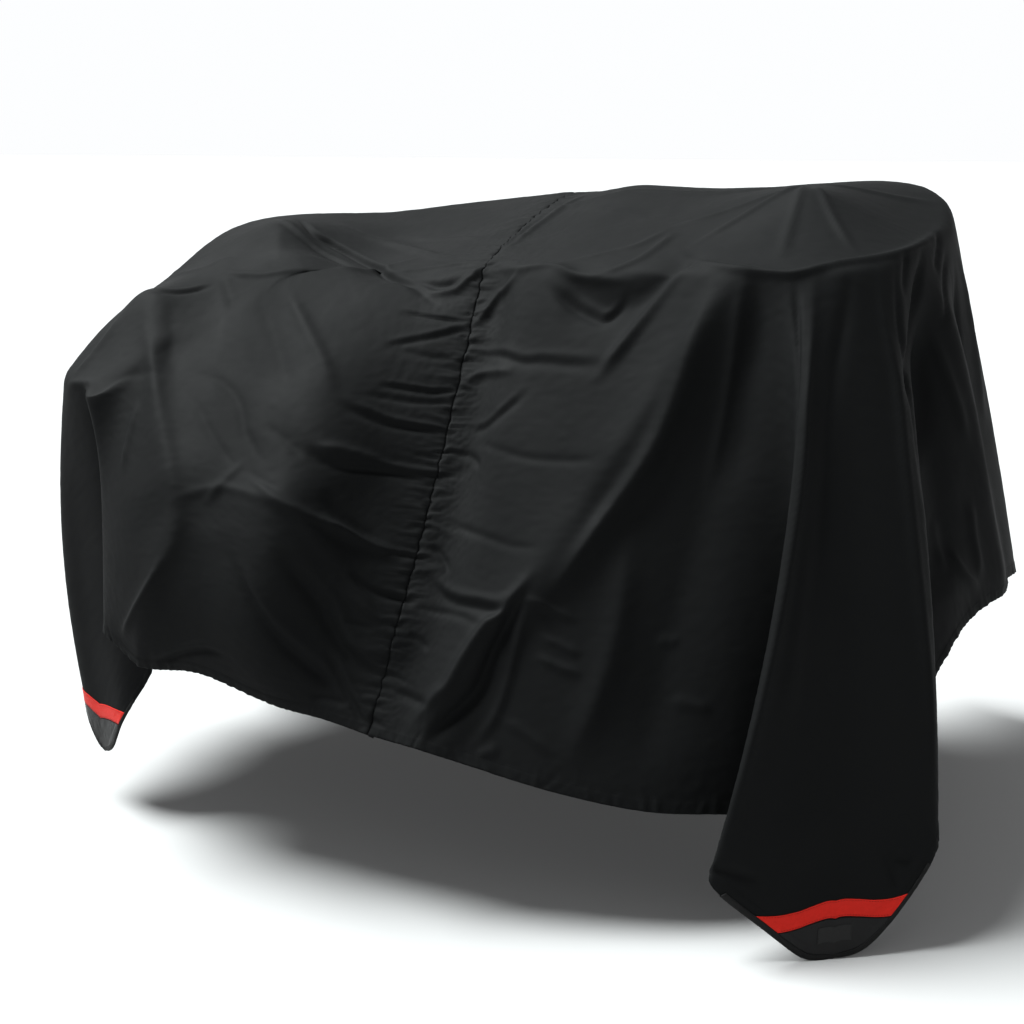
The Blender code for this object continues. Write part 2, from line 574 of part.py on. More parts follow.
def add_binding(name, side, cloth, finish, collection):
    """A folded tape round the edge of a front corner, swept as a loop of ten points."""
    clear = CLOTH / 2 + TRIM_GAP
    over = clear + BINDING_THICK
    nose = TRIM_GAP + BINDING_THICK
    upper_side = [
        (BINDING_WIDTH, clear),
        (-TRIM_GAP, clear),
    ]
    outer_side = [
        (BINDING_WIDTH, over),
        (-nose / 3, over),
        (-nose, over / 3),
    ]
    section = upper_side + [(depth, -lift) for depth, lift in reversed(upper_side)]
    section += [(depth, -lift) for depth, lift in outer_side] + list(reversed(outer_side))
    shape = bmesh.new()
    rings = []
    for step in range(BINDING_STEPS + 1):
        run = (2 * step / BINDING_STEPS - 1) * BINDING_REACH
        (inward, across), (turn_in, turn_across) = outline(side, run)
        edge = cloth.at(*corner_point(side, inward, across), 0)
        inner = (inward + turn_in * BINDING_WIDTH, across + turn_across * BINDING_WIDTH)
        further = cloth.at(*corner_point(side, *inner), 0)
        outward = cloth.at(*corner_point(side, inward, across), 1) - edge
        along = (further - edge) / BINDING_WIDTH
        rings.append([
            shape.verts.new(edge + along * depth + outward * lift) for depth, lift in section
        ])
    for ring, following in zip(rings, rings[1:]):
        for k in range(len(section)):
            n = (k + 1) % len(section)
            shape.faces.new((ring[k], ring[n], following[n], following[k]))
    shape.faces.new(rings[0])
    shape.faces.new(rings[-1])
    bmesh.ops.recalc_face_normals(shape, faces=shape.faces)
    return add(name, shape, finish, collection)


def main():
    for old in list(bpy.data.objects):
        bpy.data.objects.remove(old)
    cover = bpy.data.collections.new("electronic_drum_cover")
    bpy.context.scene.collection.children.link(cover)
    black_cloth = material("black cloth", (0.012, 0.013, 0.014), 0.5)
    black_patch = material("black patch", (0.010, 0.010, 0.010), 0.4)
    red_strip = material("red strip", (0.55, 0.03, 0.02), 0.5)
    black_label = material("black label", (0.02, 0.02, 0.02), 0.7)
    black_binding = material("black binding", (0.008, 0.008, 0.008), 0.6)
    cloth = Cloth()
    for side, word in ((-1, "left"), (1, "right")):
        add_panel("panel_" + word, side, cloth, black_cloth, cover)
        add_patch("corner_patch_" + word, side, cloth, black_patch, cover)
        add_strip("corner_strip_" + word, side, cloth, red_strip, cover)
        add_binding("edge_binding_" + word, side, cloth, black_binding, cover)
    add_label("blank_label", 1, cloth, black_label, cover)


if __name__ == "__main__":
    main()
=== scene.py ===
"""Dust cover of an electronic drum kit: the look of its draped cloth and its trim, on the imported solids."""
import math

import bpy
import numpy as np
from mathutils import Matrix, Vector


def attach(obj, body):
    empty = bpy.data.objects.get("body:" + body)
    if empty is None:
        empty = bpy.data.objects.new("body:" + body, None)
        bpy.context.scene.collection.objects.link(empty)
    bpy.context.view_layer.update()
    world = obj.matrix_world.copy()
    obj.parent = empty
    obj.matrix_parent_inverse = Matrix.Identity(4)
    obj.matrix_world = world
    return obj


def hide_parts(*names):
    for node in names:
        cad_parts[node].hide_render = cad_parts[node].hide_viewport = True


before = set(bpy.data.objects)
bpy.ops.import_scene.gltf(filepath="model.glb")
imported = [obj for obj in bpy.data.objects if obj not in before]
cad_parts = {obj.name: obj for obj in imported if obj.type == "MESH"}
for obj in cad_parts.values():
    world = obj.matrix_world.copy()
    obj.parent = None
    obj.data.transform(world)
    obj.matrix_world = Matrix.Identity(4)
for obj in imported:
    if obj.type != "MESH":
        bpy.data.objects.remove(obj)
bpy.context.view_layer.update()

# Camera at the photograph's viewing angle, in the row frame, and the floor below the cover.
CAMERA_PLACE = (1.1825, -3.0304, 0.186)
CAMERA_FORWARD = (-0.36157, 0.90400, -0.22815)
CAMERA_LENS = 57.76
CAMERA_SENSOR = 36.0
CAMERA_REACH = 200.0
FLOOR_REACH = 60.0
FLOOR_COLOR = (0.43, 0.43, 0.43)

# The studio light, and the world's brightness from the horizon up, by the sine of the elevation.
KEY_DIRECTION = (-0.50, 0.04, 0.86)
KEY_STRENGTH = 8.6
KEY_SPREAD = 0.55
KEY_COLOR = (0.96, 1.0, 1.0)
BACKDROP_COLOR = (0.98, 0.99, 1.0, 1)
BACKDROP_TOP = 0.16
BACKDROP_STRENGTH = 1.0
CEILING_FROM = 0.60
CEILING_STRENGTH = 0.25

# Cut sizes of the cloth, metres. The seam is the line u = 0, and the hub is u = 0, v = 0.
LEFT_WIDTH = 1.28
RIGHT_WIDTH = 1.52
FRONT_LENGTH = 1.12
BACK_LENGTH = 0.93
CORNER_RADIUS = 0.095
SEAM_GAP = 0.0005

HUB = (0.0, 0.12)
KIT_TOP = (0.0, 0.10, 1.077)
FLOOR_HEIGHT = -KIT_TOP[2]

# Grid lines of the cloth: from, to and the number of cells between. The drape is then softened by
# some passes across the seam and along it.
LEFT_LINES = ((-LEFT_WIDTH, -0.85, 50), (-0.85, -0.12, 138), (-0.12, 0.0, 36))
RIGHT_LINES = ((0.0, 0.12, 36), (0.12, 0.80, 104), (0.80, RIGHT_WIDTH, 82))
ALONG_LINES = ((-FRONT_LENGTH, -1.08, 12), (-1.08, -0.05, 270), (-0.05, 0.35, 56), (0.35, BACK_LENGTH, 66))
SOFTEN_ACROSS = 5
SOFTEN_ALONG = 14

# Trim of a front corner, metres. The distances named for the corner run in along its diagonal.
STRIP_FROM_CORNER = 0.108
PATCH_TO_STRIP = 0.0015
PATCH_SIDE = 0.004
STRIP_WIDTH = 0.028
TRIM_THICK = 0.0008
LABEL_FROM_CORNER = 0.082
LABEL_LENGTH = 0.058
LABEL_HEIGHT = 0.025
BINDING_WIDTH = 0.008
BINDING_REACH = 0.21
TRIM_GAP = 0.0004

SPOT_COLUMNS = ("name", "x", "y", "height")
SPOTS = (
    ("right disc, near rim", 0.58, -0.21, 1.035),
    ("right disc, left rim", 0.36, -0.12, 1.050),
    ("right disc, right rim", 0.80, 0.12, 1.090),
    ("right disc, far rim", 0.62, 0.27, 1.161),
    ("right disc, back right rim", 0.77, 0.23, 1.132),
    ("between the back stands", 0.40, 0.29, 1.148),
    ("right disc, middle", 0.575, 0.035, 1.100),
    ("back edge, right", 0.45, 0.40, 1.135),
    ("back edge, middle", 0.18, 0.42, 1.130),
    ("drum rim, right", 0.20, -0.17, 1.015),
    ("drum rim, left", 0.015, -0.14, 1.010),
    ("stand behind the drums", 0.17, 0.28, 1.140),
    ("back of the seam", -0.04, 0.42, 1.130),
    ("left disc, near rim", -0.45, -0.20, 0.985),
    ("left disc, right rim", -0.31, 0.02, 1.020),
    ("left disc, middle", -0.49, 0.00, 1.045),
    ("left disc, far rim", -0.42, 0.25, 1.082),
    ("left shoulder, high", -0.66, 0.05, 1.046),
    ("left shoulder, low", -0.735, -0.20, 0.890),
    ("low disc, near rim", -0.62, -0.455, 0.800),
    ("low disc, left rim", -0.745, -0.38, 0.800),
    ("low disc, right rim", -0.50, -0.33, 0.880),
)

# Points that push up into the top: name, plan x, plan y, rise over the heights above, and reach. The
# rounding is added to the squared distance, so that the tip isn't a sharp point.
PEAKS = (
    ("right disc's stand", 0.571, 0.039, 0.056, 0.25),
    ("left disc's stand", -0.486, 0.001, 0.036, 0.24),
    ("low disc's rod", -0.650, -0.265, 0.075, 0.20),
    ("back stand", 0.170, 0.283, 0.012, 0.20),
)
PEAK_ROUNDING = 0.0001
PEAK_POWER = 1.5

# The skirt: lines that run down the cloth, in order round the hem from the front of the seam.
# cut is the distance along the cut hem. rim is the plan point where the line leaves the top,
# mid its plan point half way down, and hem its lower end with its height above the floor.
SKIRT_COLUMNS = ("name", "cut", "rim_x", "rim_y", "mid_x", "mid_y", "hem_x", "hem_y", "hem_height")
SKIRT = (
    ("seam, front", 0.00, 0.000, -0.110, 0.030, -0.415, 0.010, -0.640, 0.285),
    ("front, right of seam", 0.20, 0.100, -0.150, 0.140, -0.420, 0.170, -0.640, 0.260),
    ("front, under the drums", 0.40, 0.200, -0.170, 0.270, -0.420, 0.330, -0.610, 0.220),
    ("front, wide face", 0.60, 0.330, -0.190, 0.410, -0.400, 0.480, -0.560, 0.190),
    ("front, before the pleat", 0.76, 0.450, -0.215, 0.530, -0.385, 0.590, -0.500, 0.180),
    ("right ear, left pleat", 1.00, 0.560, -0.225, 0.660, -0.360, 0.750, -0.400, 0.150),
    ("right ear, left ridge", 1.27, 0.630, -0.210, 0.655, -0.480, 0.600, -0.650, 0.124),
    ("right ear, left of the tip", 1.36, 0.648, -0.203, 0.687, -0.458, 0.681, -0.619, 0.050),
    ("right ear, corner", 1.52, 0.680, -0.190, 0.745, -0.420, 0.780, -0.585, -0.034),
    ("right ear, right of the tip", 1.68, 0.715, -0.152, 0.815, -0.360, 0.868, -0.505, 0.066),
    ("right ear, right ridge", 1.77, 0.735, -0.130, 0.850, -0.310, 0.912, -0.452, 0.148),
    ("right ear, right pleat", 1.99, 0.770, -0.050, 0.800, -0.170, 0.820, -0.270, 0.190),
    ("right side, front", 2.25, 0.795, 0.060, 0.855, 0.000, 0.883, -0.060, 0.390),
    ("right side, middle", 2.50, 0.805, 0.150, 0.876, 0.160, 0.941, 0.170, 0.425),
    ("right side, back", 2.75, 0.785, 0.240, 0.870, 0.330, 0.939, 0.400, 0.400),
    ("back right ear, side pleat", 2.98, 0.750, 0.300, 0.820, 0.400, 0.860, 0.460, 0.380),
    ("back right ear, side ridge", 3.27, 0.720, 0.335, 0.840, 0.520, 0.900, 0.630, 0.330),
    ("back right ear, corner", 3.57, 0.680, 0.360, 0.780, 0.550, 0.830, 0.700, 0.200),
    ("back right ear, back ridge", 3.87, 0.630, 0.380, 0.680, 0.560, 0.680, 0.740, 0.360),
    ("back right ear, back pleat", 4.10, 0.550, 0.390, 0.580, 0.470, 0.600, 0.520, 0.420),
    ("back, right", 4.40, 0.400, 0.400, 0.410, 0.500, 0.410, 0.580, 0.500),
    ("back, right of seam", 4.75, 0.180, 0.420, 0.190, 0.500, 0.190, 0.550, 0.540),
    ("seam, back", 5.09, 0.000, 0.420, 0.000, 0.510, 0.000, 0.570, 0.540),
    ("back, left of seam", 5.35, -0.220, 0.380, -0.230, 0.480, -0.240, 0.540, 0.480),
    ("back, left", 5.60, -0.380, 0.320, -0.410, 0.420, -0.430, 0.500, 0.400),
    ("back left ear, back pleat", 5.85, -0.460, 0.280, -0.500, 0.340, -0.520, 0.380, 0.420),
    ("back left ear, back ridge", 6.10, -0.520, 0.240, -0.580, 0.400, -0.590, 0.540, 0.260),
    ("back left ear, corner", 6.37, -0.570, 0.190, -0.670, 0.330, -0.750, 0.470, 0.080),
    ("back left ear, side ridge", 6.64, -0.620, 0.130, -0.760, 0.210, -0.840, 0.290, 0.250),
    ("back left ear, side pleat", 6.88, -0.650, 0.060, -0.710, 0.090, -0.740, 0.120, 0.360),
    ("left side, back", 7.15, -0.680, -0.020, -0.750, 0.000, -0.790, 0.000, 0.360),
    ("left side, middle", 7.50, -0.720, -0.140, -0.780, -0.160, -0.800, -0.180, 0.340),
    ("left side, front", 7.85, -0.745, -0.260, -0.780, -0.290, -0.775, -0.310, 0.310),
    ("left ear, side", 8.08, -0.755, -0.330, -0.772, -0.350, -0.745, -0.350, 0.260),
    ("left ear, outer ridge", 8.31, -0.750, -0.380, -0.742, -0.425, -0.697, -0.440, 0.150),
    ("left ear, corner", 8.42, -0.728, -0.405, -0.688, -0.445, -0.638, -0.470, 0.062),
    ("left ear, inner edge", 8.56, -0.700, -0.420, -0.615, -0.470, -0.580, -0.505, 0.165),
    ("left ear, pleat", 8.80, -0.670, -0.430, -0.545, -0.465, -0.505, -0.492, 0.300),
    ("front, left ridge", 9.06, -0.610, -0.455, -0.575, -0.525, -0.545, -0.580, 0.375),
    ("front, left", 9.20, -0.530, -0.330, -0.490, -0.560, -0.450, -0.600, 0.340),
    ("front, low drum's left", 9.38, -0.400, -0.195, -0.330, -0.555, -0.305, -0.630, 0.345),
    ("front, low drum's right", 9.52, -0.200, -0.170, -0.170, -0.575, -0.160, -0.640, 0.310),
    ("front, left of seam", 9.62, -0.070, -0.140, -0.060, -0.470, -0.070, -0.640, 0.300),
)

# Folds that stand out of the lines above: name, cut point (u, v) of the upper end and of the lower
# end, how far the middle bends to the left of the run, height (a valley is negative), and the width
# at the upper and the lower end.
FOLDS = (
    ("tension ridge from the right disc", 0.54, -0.30, 0.05, -1.24, 0.00, 0.030, 0.038, 0.090),
    ("valley under that ridge", 0.40, -0.58, 0.17, -1.18, 0.00, -0.020, 0.050, 0.080),
    ("swag between drums and disc", 0.17, -0.30, 0.43, -0.27, -0.08, -0.020, 0.025, 0.025),
    ("valley below the disc's front", 0.55, -0.33, 0.56, -1.10, 0.00, -0.016, 0.030, 0.090),
    ("valley right of the left disc", -0.46, -0.11, 0.00, -0.32, -0.02, -0.016, 0.030, 0.045),
    ("ridge from the low disc's rod", -0.67, -0.35, -0.40, -0.80, 0.00, 0.022, 0.040, 0.050),
    ("ridge down to the left hem", -0.39, -0.72, -0.52, -1.20, 0.00, 0.014, 0.040, 0.060),
    ("low drum's rim", -0.46, -0.76, -0.16, -0.67, 0.00, 0.005, 0.030, 0.030),
    ("ridge from the low drum to the seam", -0.23, -0.66, 0.04, -1.00, 0.00, 0.014, 0.035, 0.050),
    ("hollow under the low drum", -0.32, -0.78, -0.06, -1.10, 0.00, -0.006, 0.040, 0.060),
    ("ridge from the left disc", -0.44, -0.22, -0.06, -0.68, 0.00, 0.007, 0.040, 0.060),
    ("valley left of that ridge", -0.58, -0.30, -0.23, -0.72, 0.00, -0.010, 0.050, 0.070),
    ("right side, first valley", 0.85, -0.19, 1.42, -0.38, 0.00, -0.026, 0.020, 0.060),
    ("right side, ridge", 0.82, -0.14, 1.60, -0.22, 0.00, 0.024, 0.020, 0.060),
    ("right side, second valley", 0.84, -0.06, 1.66, -0.05, 0.00, -0.016, 0.025, 0.060),
    ("right side, back valley", 0.82, 0.13, 1.66, 0.22, 0.00, -0.018, 0.025, 0.070),
    ("back, right valley", 0.42, 0.30, 0.56, 1.10, 0.00, -0.024, 0.025, 0.070),
    ("back, ridge", 0.22, 0.31, 0.28, 1.10, 0.00, 0.020, 0.025, 0.060),
    ("back, valley by the seam", 0.08, 0.32, 0.10, 1.10, 0.00, -0.018, 0.025, 0.055),
    ("back, valley left of the seam", -0.14, 0.30, -0.18, 1.10, 0.00, -0.022, 0.025, 0.065),
    ("back, left ridge", -0.28, 0.26, -0.38, 1.10, 0.00, 0.020, 0.025, 0.060),
    ("left side, back valley", -0.70, 0.00, -1.46, 0.10, 0.00, -0.020, 0.025, 0.065),
    ("left side, ridge", -0.73, -0.10, -1.46, -0.06, 0.00, 0.020, 0.025, 0.060),
    ("left side, front valley", -0.76, -0.22, -1.46, -0.26, 0.00, -0.020, 0.025, 0.060),
)
# How round a fold's crest is, and the share of its length that each end fades over.
FOLD_CREST = 0.014
FOLD_FADE = 0.18

# How far in from a corner the cut lines bend to follow its round edge.
CORNER_BLOCK = 0.25

# How closely the skirt's lines are sampled, and how the line through a point is searched for.
SKIRT_SAMPLES = 4000
LINE_SEARCH = 0.9
LINE_STEPS = 30
ROUND_STEPS = 12


def column(rows, columns, name):
    return np.array([row[columns.index(name)] for row in rows])


def rounded(u, v):
    """Moves points of the sharp rectangle in, so that its corners are round."""
    u, v = u.copy(), v.copy()
    block, inner = CORNER_BLOCK, CORNER_BLOCK - CORNER_RADIUS
    for side, across in ((-1, LEFT_WIDTH), (1, RIGHT_WIDTH)):
        for end, along in ((-1, FRONT_LENGTH), (1, BACK_LENGTH)):
            x = side * u - (across - block)
            y = end * v - (along - block)
            inside = (x > 0) & (y > 0)
            angle = np.arctan2(y[inside], x[inside])
            both = inner * (np.cos(angle) + np.sin(angle))
            sharp = block / np.maximum(np.cos(angle), np.sin(angle))
            arc = both + np.sqrt(np.maximum(both**2 - 2 * inner**2 + CORNER_RADIUS**2, 0))
            straight = np.minimum(np.cos(angle), np.sin(angle)) * sharp < inner
            reach = np.where(straight, sharp, np.minimum(arc, sharp))
            near = np.maximum(x[inside], y[inside]) / block
            scale = 1 + near**2 * (reach / sharp - 1)
            u[inside] = side * (across - block + x[inside] * scale)
            v[inside] = end * (along - block + y[inside] * scale)
    return u, v


def on_hem(cut):
    """The cut point at a distance along the hem, counterclockwise from the front of the seam."""
    length = FRONT_LENGTH + BACK_LENGTH
    corners = np.cumsum([0, RIGHT_WIDTH, length, RIGHT_WIDTH + LEFT_WIDTH, length, LEFT_WIDTH])
    u = np.interp(cut, corners, [0, RIGHT_WIDTH, RIGHT_WIDTH, -LEFT_WIDTH, -LEFT_WIDTH, 0])
    v = np.interp(
        cut,
        corners,
        [-FRONT_LENGTH, -FRONT_LENGTH, BACK_LENGTH, BACK_LENGTH, -FRONT_LENGTH, -FRONT_LENGTH],
    )
    return u, v


def between(t, start, slope_in, end, slope_out):
    """A smooth curve from start to end at the share t of the way, with its slope at each of them."""
    return (
        start * (2 * t**3 - 3 * t**2 + 1)
        + slope_in * (t**3 - 2 * t**2 + t)
        + end * (3 * t**2 - 2 * t**3)
        + slope_out * (t**3 - t**2)
    )


def periodic(cut, keys, values, sharp, period):
    """Smooth values between the keys of a closed loop. A sharp key has a slope of its own each way."""
    keys = np.concatenate([[keys[-1] - period], keys, [keys[0] + period, keys[1] + period]])
    values = np.concatenate([values[-1:], values, values[:2]])
    sharp = np.concatenate([sharp, sharp[:1]])
    gaps = np.diff(keys)
    steps = np.diff(values) / gaps
    slopes = (steps[:-1] * gaps[1:] + steps[1:] * gaps[:-1]) / (gaps[1:] + gaps[:-1])
    cell = np.clip(np.searchsorted(keys, cut, side="right") - 1, 1, len(keys) - 3)
    gap = gaps[cell]
    t = (cut - keys[cell]) / gap
    start, end = values[cell], values[cell + 1]
    slope_in = np.where(sharp[cell - 1], steps[cell], slopes[cell - 1]) * gap
    slope_out = np.where(sharp[cell], steps[cell], slopes[cell]) * gap
    return between(t, start, slope_in, end, slope_out)


def spread(squared):
    """The thin plate's rule for how a height fades with squared distance."""
    return 0.5 * squared * np.log(np.maximum(squared, 1e-12))


def spot_weights():
    x, y = column(SPOTS, SPOT_COLUMNS, "x"), column(SPOTS, SPOT_COLUMNS, "y")
    heights = column(SPOTS, SPOT_COLUMNS, "height")
    count = len(SPOTS)
    system = np.zeros((count + 3, count + 3))
    system[:count, :count] = spread((x[:, None] - x) ** 2 + (y[:, None] - y) ** 2)
    system[:count, count:] = np.stack([np.ones(count), x, y], axis=1)
    system[count:, :count] = system[:count, count:].T
    return np.linalg.solve(system, np.concatenate([heights, np.zeros(3)]))


SPOT_WEIGHTS = spot_weights()


def top_height(x, y):
    """The height of the top over the plan point x, y."""
    count = len(SPOTS)
    height = SPOT_WEIGHTS[count] + SPOT_WEIGHTS[count + 1] * x + SPOT_WEIGHTS[count + 2] * y
    for weight, (_, spot_x, spot_y, _) in zip(SPOT_WEIGHTS, SPOTS):
        height = height + weight * spread((x - spot_x) ** 2 + (y - spot_y) ** 2)
    for _, peak_x, peak_y, rise, reach in PEAKS:
        away = np.sqrt((x - peak_x) ** 2 + (y - peak_y) ** 2 + PEAK_ROUNDING) / reach
        height = height + rise * np.maximum(1 - away, 0) ** PEAK_POWER
    return height


class Skirt:
    """The lines of the skirt, sampled closely round the hem."""

    def __init__(self):
        self.period = 2 * (LEFT_WIDTH + RIGHT_WIDTH + FRONT_LENGTH + BACK_LENGTH)
        self.cuts = np.linspace(0, self.period, SKIRT_SAMPLES + 1)
        keys = column(SKIRT, SKIRT_COLUMNS, "cut")
        corner = np.array([row[0].endswith("corner") for row in SKIRT])
        self.lines = {}
        for name in SKIRT_COLUMNS[2:]:
            sharp = corner & name.startswith("hem")
            values = column(SKIRT, SKIRT_COLUMNS, name)
            self.lines[name] = periodic(self.cuts % self.period, keys, values, sharp, self.period)
        rim_x, rim_y = self.lines["rim_x"], self.lines["rim_y"]
        self.lines["rim_height"] = top_height(rim_x, rim_y)
        out = np.hypot(rim_x - HUB[0], rim_y - HUB[1])
        fall = self.lines["rim_height"] - top_height(*HUB)
        slope = np.hypot(out, fall) / out
        self.lines["rim_u"] = (rim_x - HUB[0]) * slope
        self.lines["rim_v"] = (rim_y - HUB[1]) * slope
        self.lines["hem_u"], self.lines["hem_v"] = on_hem(self.cuts)

    def read(self, name, cut):
        return np.interp(cut % self.period, self.cuts, self.lines[name])

    def passing(self, u, v, of_top):
        """Where on the hem the line through each cut point ends, on the top or on the skirt."""
        across = np.where(u < 0, LEFT_WIDTH, RIGHT_WIDTH)
        along = np.where(v < 0, FRONT_LENGTH, BACK_LENGTH)
        out = np.maximum(np.maximum(np.abs(u) / across, np.abs(v) / along), 1e-9)
        turn = np.unwrap(np.arctan2(self.lines["hem_v"], self.lines["hem_u"]))
        angle = (np.arctan2(v / out, u / out) - turn[0]) % (2 * math.pi) + turn[0]
        middle = np.interp(angle, turn, self.cuts)
        low, high = middle - LINE_SEARCH, middle + LINE_SEARCH
        for _ in range(LINE_STEPS):
            middle = (low + high) / 2
            rim_u, rim_v = self.read("rim_u", middle), self.read("rim_v", middle)
            if of_top:
                side = rim_u * v - rim_v * u
            else:
                run_u, run_v = self.read("hem_u", middle) - rim_u, self.read("hem_v", middle) - rim_v
                side = run_u * (v - rim_v) - run_v * (u - rim_u)
            low = np.where(side > 0, middle, low)
            high = np.where(side > 0, high, middle)
        return middle


def draped(u, v):
    skirt = Skirt()
    cut = skirt.passing(u, v, of_top=True)
    rim = np.hypot(skirt.read("rim_u", cut), skirt.read("rim_v", cut))
    out = np.hypot(u, v) / rim
    x = HUB[0] + (skirt.read("rim_x", cut) - HUB[0]) * out
    y = HUB[1] + (skirt.read("rim_y", cut) - HUB[1]) * out
    height = top_height(x, y)
    hangs = out > 1
    cut = skirt.passing(u, v, of_top=False)
    line = {name: skirt.read(name, cut) for name in skirt.lines}
    run = np.hypot(line["hem_u"] - line["rim_u"], line["hem_v"] - line["rim_v"])
    down = np.clip(np.hypot(u - line["rim_u"], v - line["rim_v"]) / run, 0, 1)
    near, middle, far = (1 - down) * (1 - 2 * down), 4 * down * (1 - down), down * (2 * down - 1)
    x = np.where(hangs, near * line["rim_x"] + middle * line["mid_x"] + far * line["hem_x"], x)
    y = np.where(hangs, near * line["rim_y"] + middle * line["mid_y"] + far * line["hem_y"], y)
    fall = line["hem_height"] - line["rim_height"]
    height = np.where(hangs, line["rim_height"] + fall * down, height)
    return np.stack([x, y, height], axis=-1)


def folded(places, u, v):
    """Moves the cloth out along its ridges and in along its valleys."""
    outward = directions(places)
    lift = np.zeros(u.shape)
    for _, from_u, from_v, to_u, to_v, bend, rise, from_width, to_width in FOLDS:
        run_u, run_v = to_u - from_u, to_v - from_v
        length = math.hypot(run_u, run_v)
        along = ((u - from_u) * run_u + (v - from_v) * run_v) / length**2
        inside = np.clip(along, 0, 1)
        aside = ((v - from_v) * run_u - (u - from_u) * run_v) / length
        aside = aside - 4 * bend * inside * (1 - inside)
        width = from_width + (to_width - from_width) * inside
        fade = np.clip(along / FOLD_FADE, 0, 1) * np.clip((1 - along) / FOLD_FADE, 0, 1)
        away = np.sqrt(aside**2 + FOLD_CREST**2) - FOLD_CREST
        lift += rise * np.exp(-away / width) * fade**2 * (3 - 2 * fade)
    return places + outward * lift[..., None]


def directions(places):
    """The outward direction at each grid point."""
    outward = np.cross(np.gradient(places, axis=0), np.gradient(places, axis=1))
    return outward / np.linalg.norm(outward, axis=-1, keepdims=True)


def softened(points, across, along):
    """Rounds what is sharp in a grid: inner points move towards their neighbours, some passes each way."""
    for axis, passes in ((0, across), (1, along)):
        moved = np.swapaxes(points, 0, axis)
        for _ in range(passes):
            moved[1:-1] = 0.5 * moved[1:-1] + 0.25 * (moved[:-2] + moved[2:])
    for i, beside_i in ((0, 1), (-1, -2)):
        for j, beside_j in ((0, 1), (-1, -2)):
            points[i, j] = points[i, beside_j] + points[beside_i, j] - points[beside_i, beside_j]
    return points


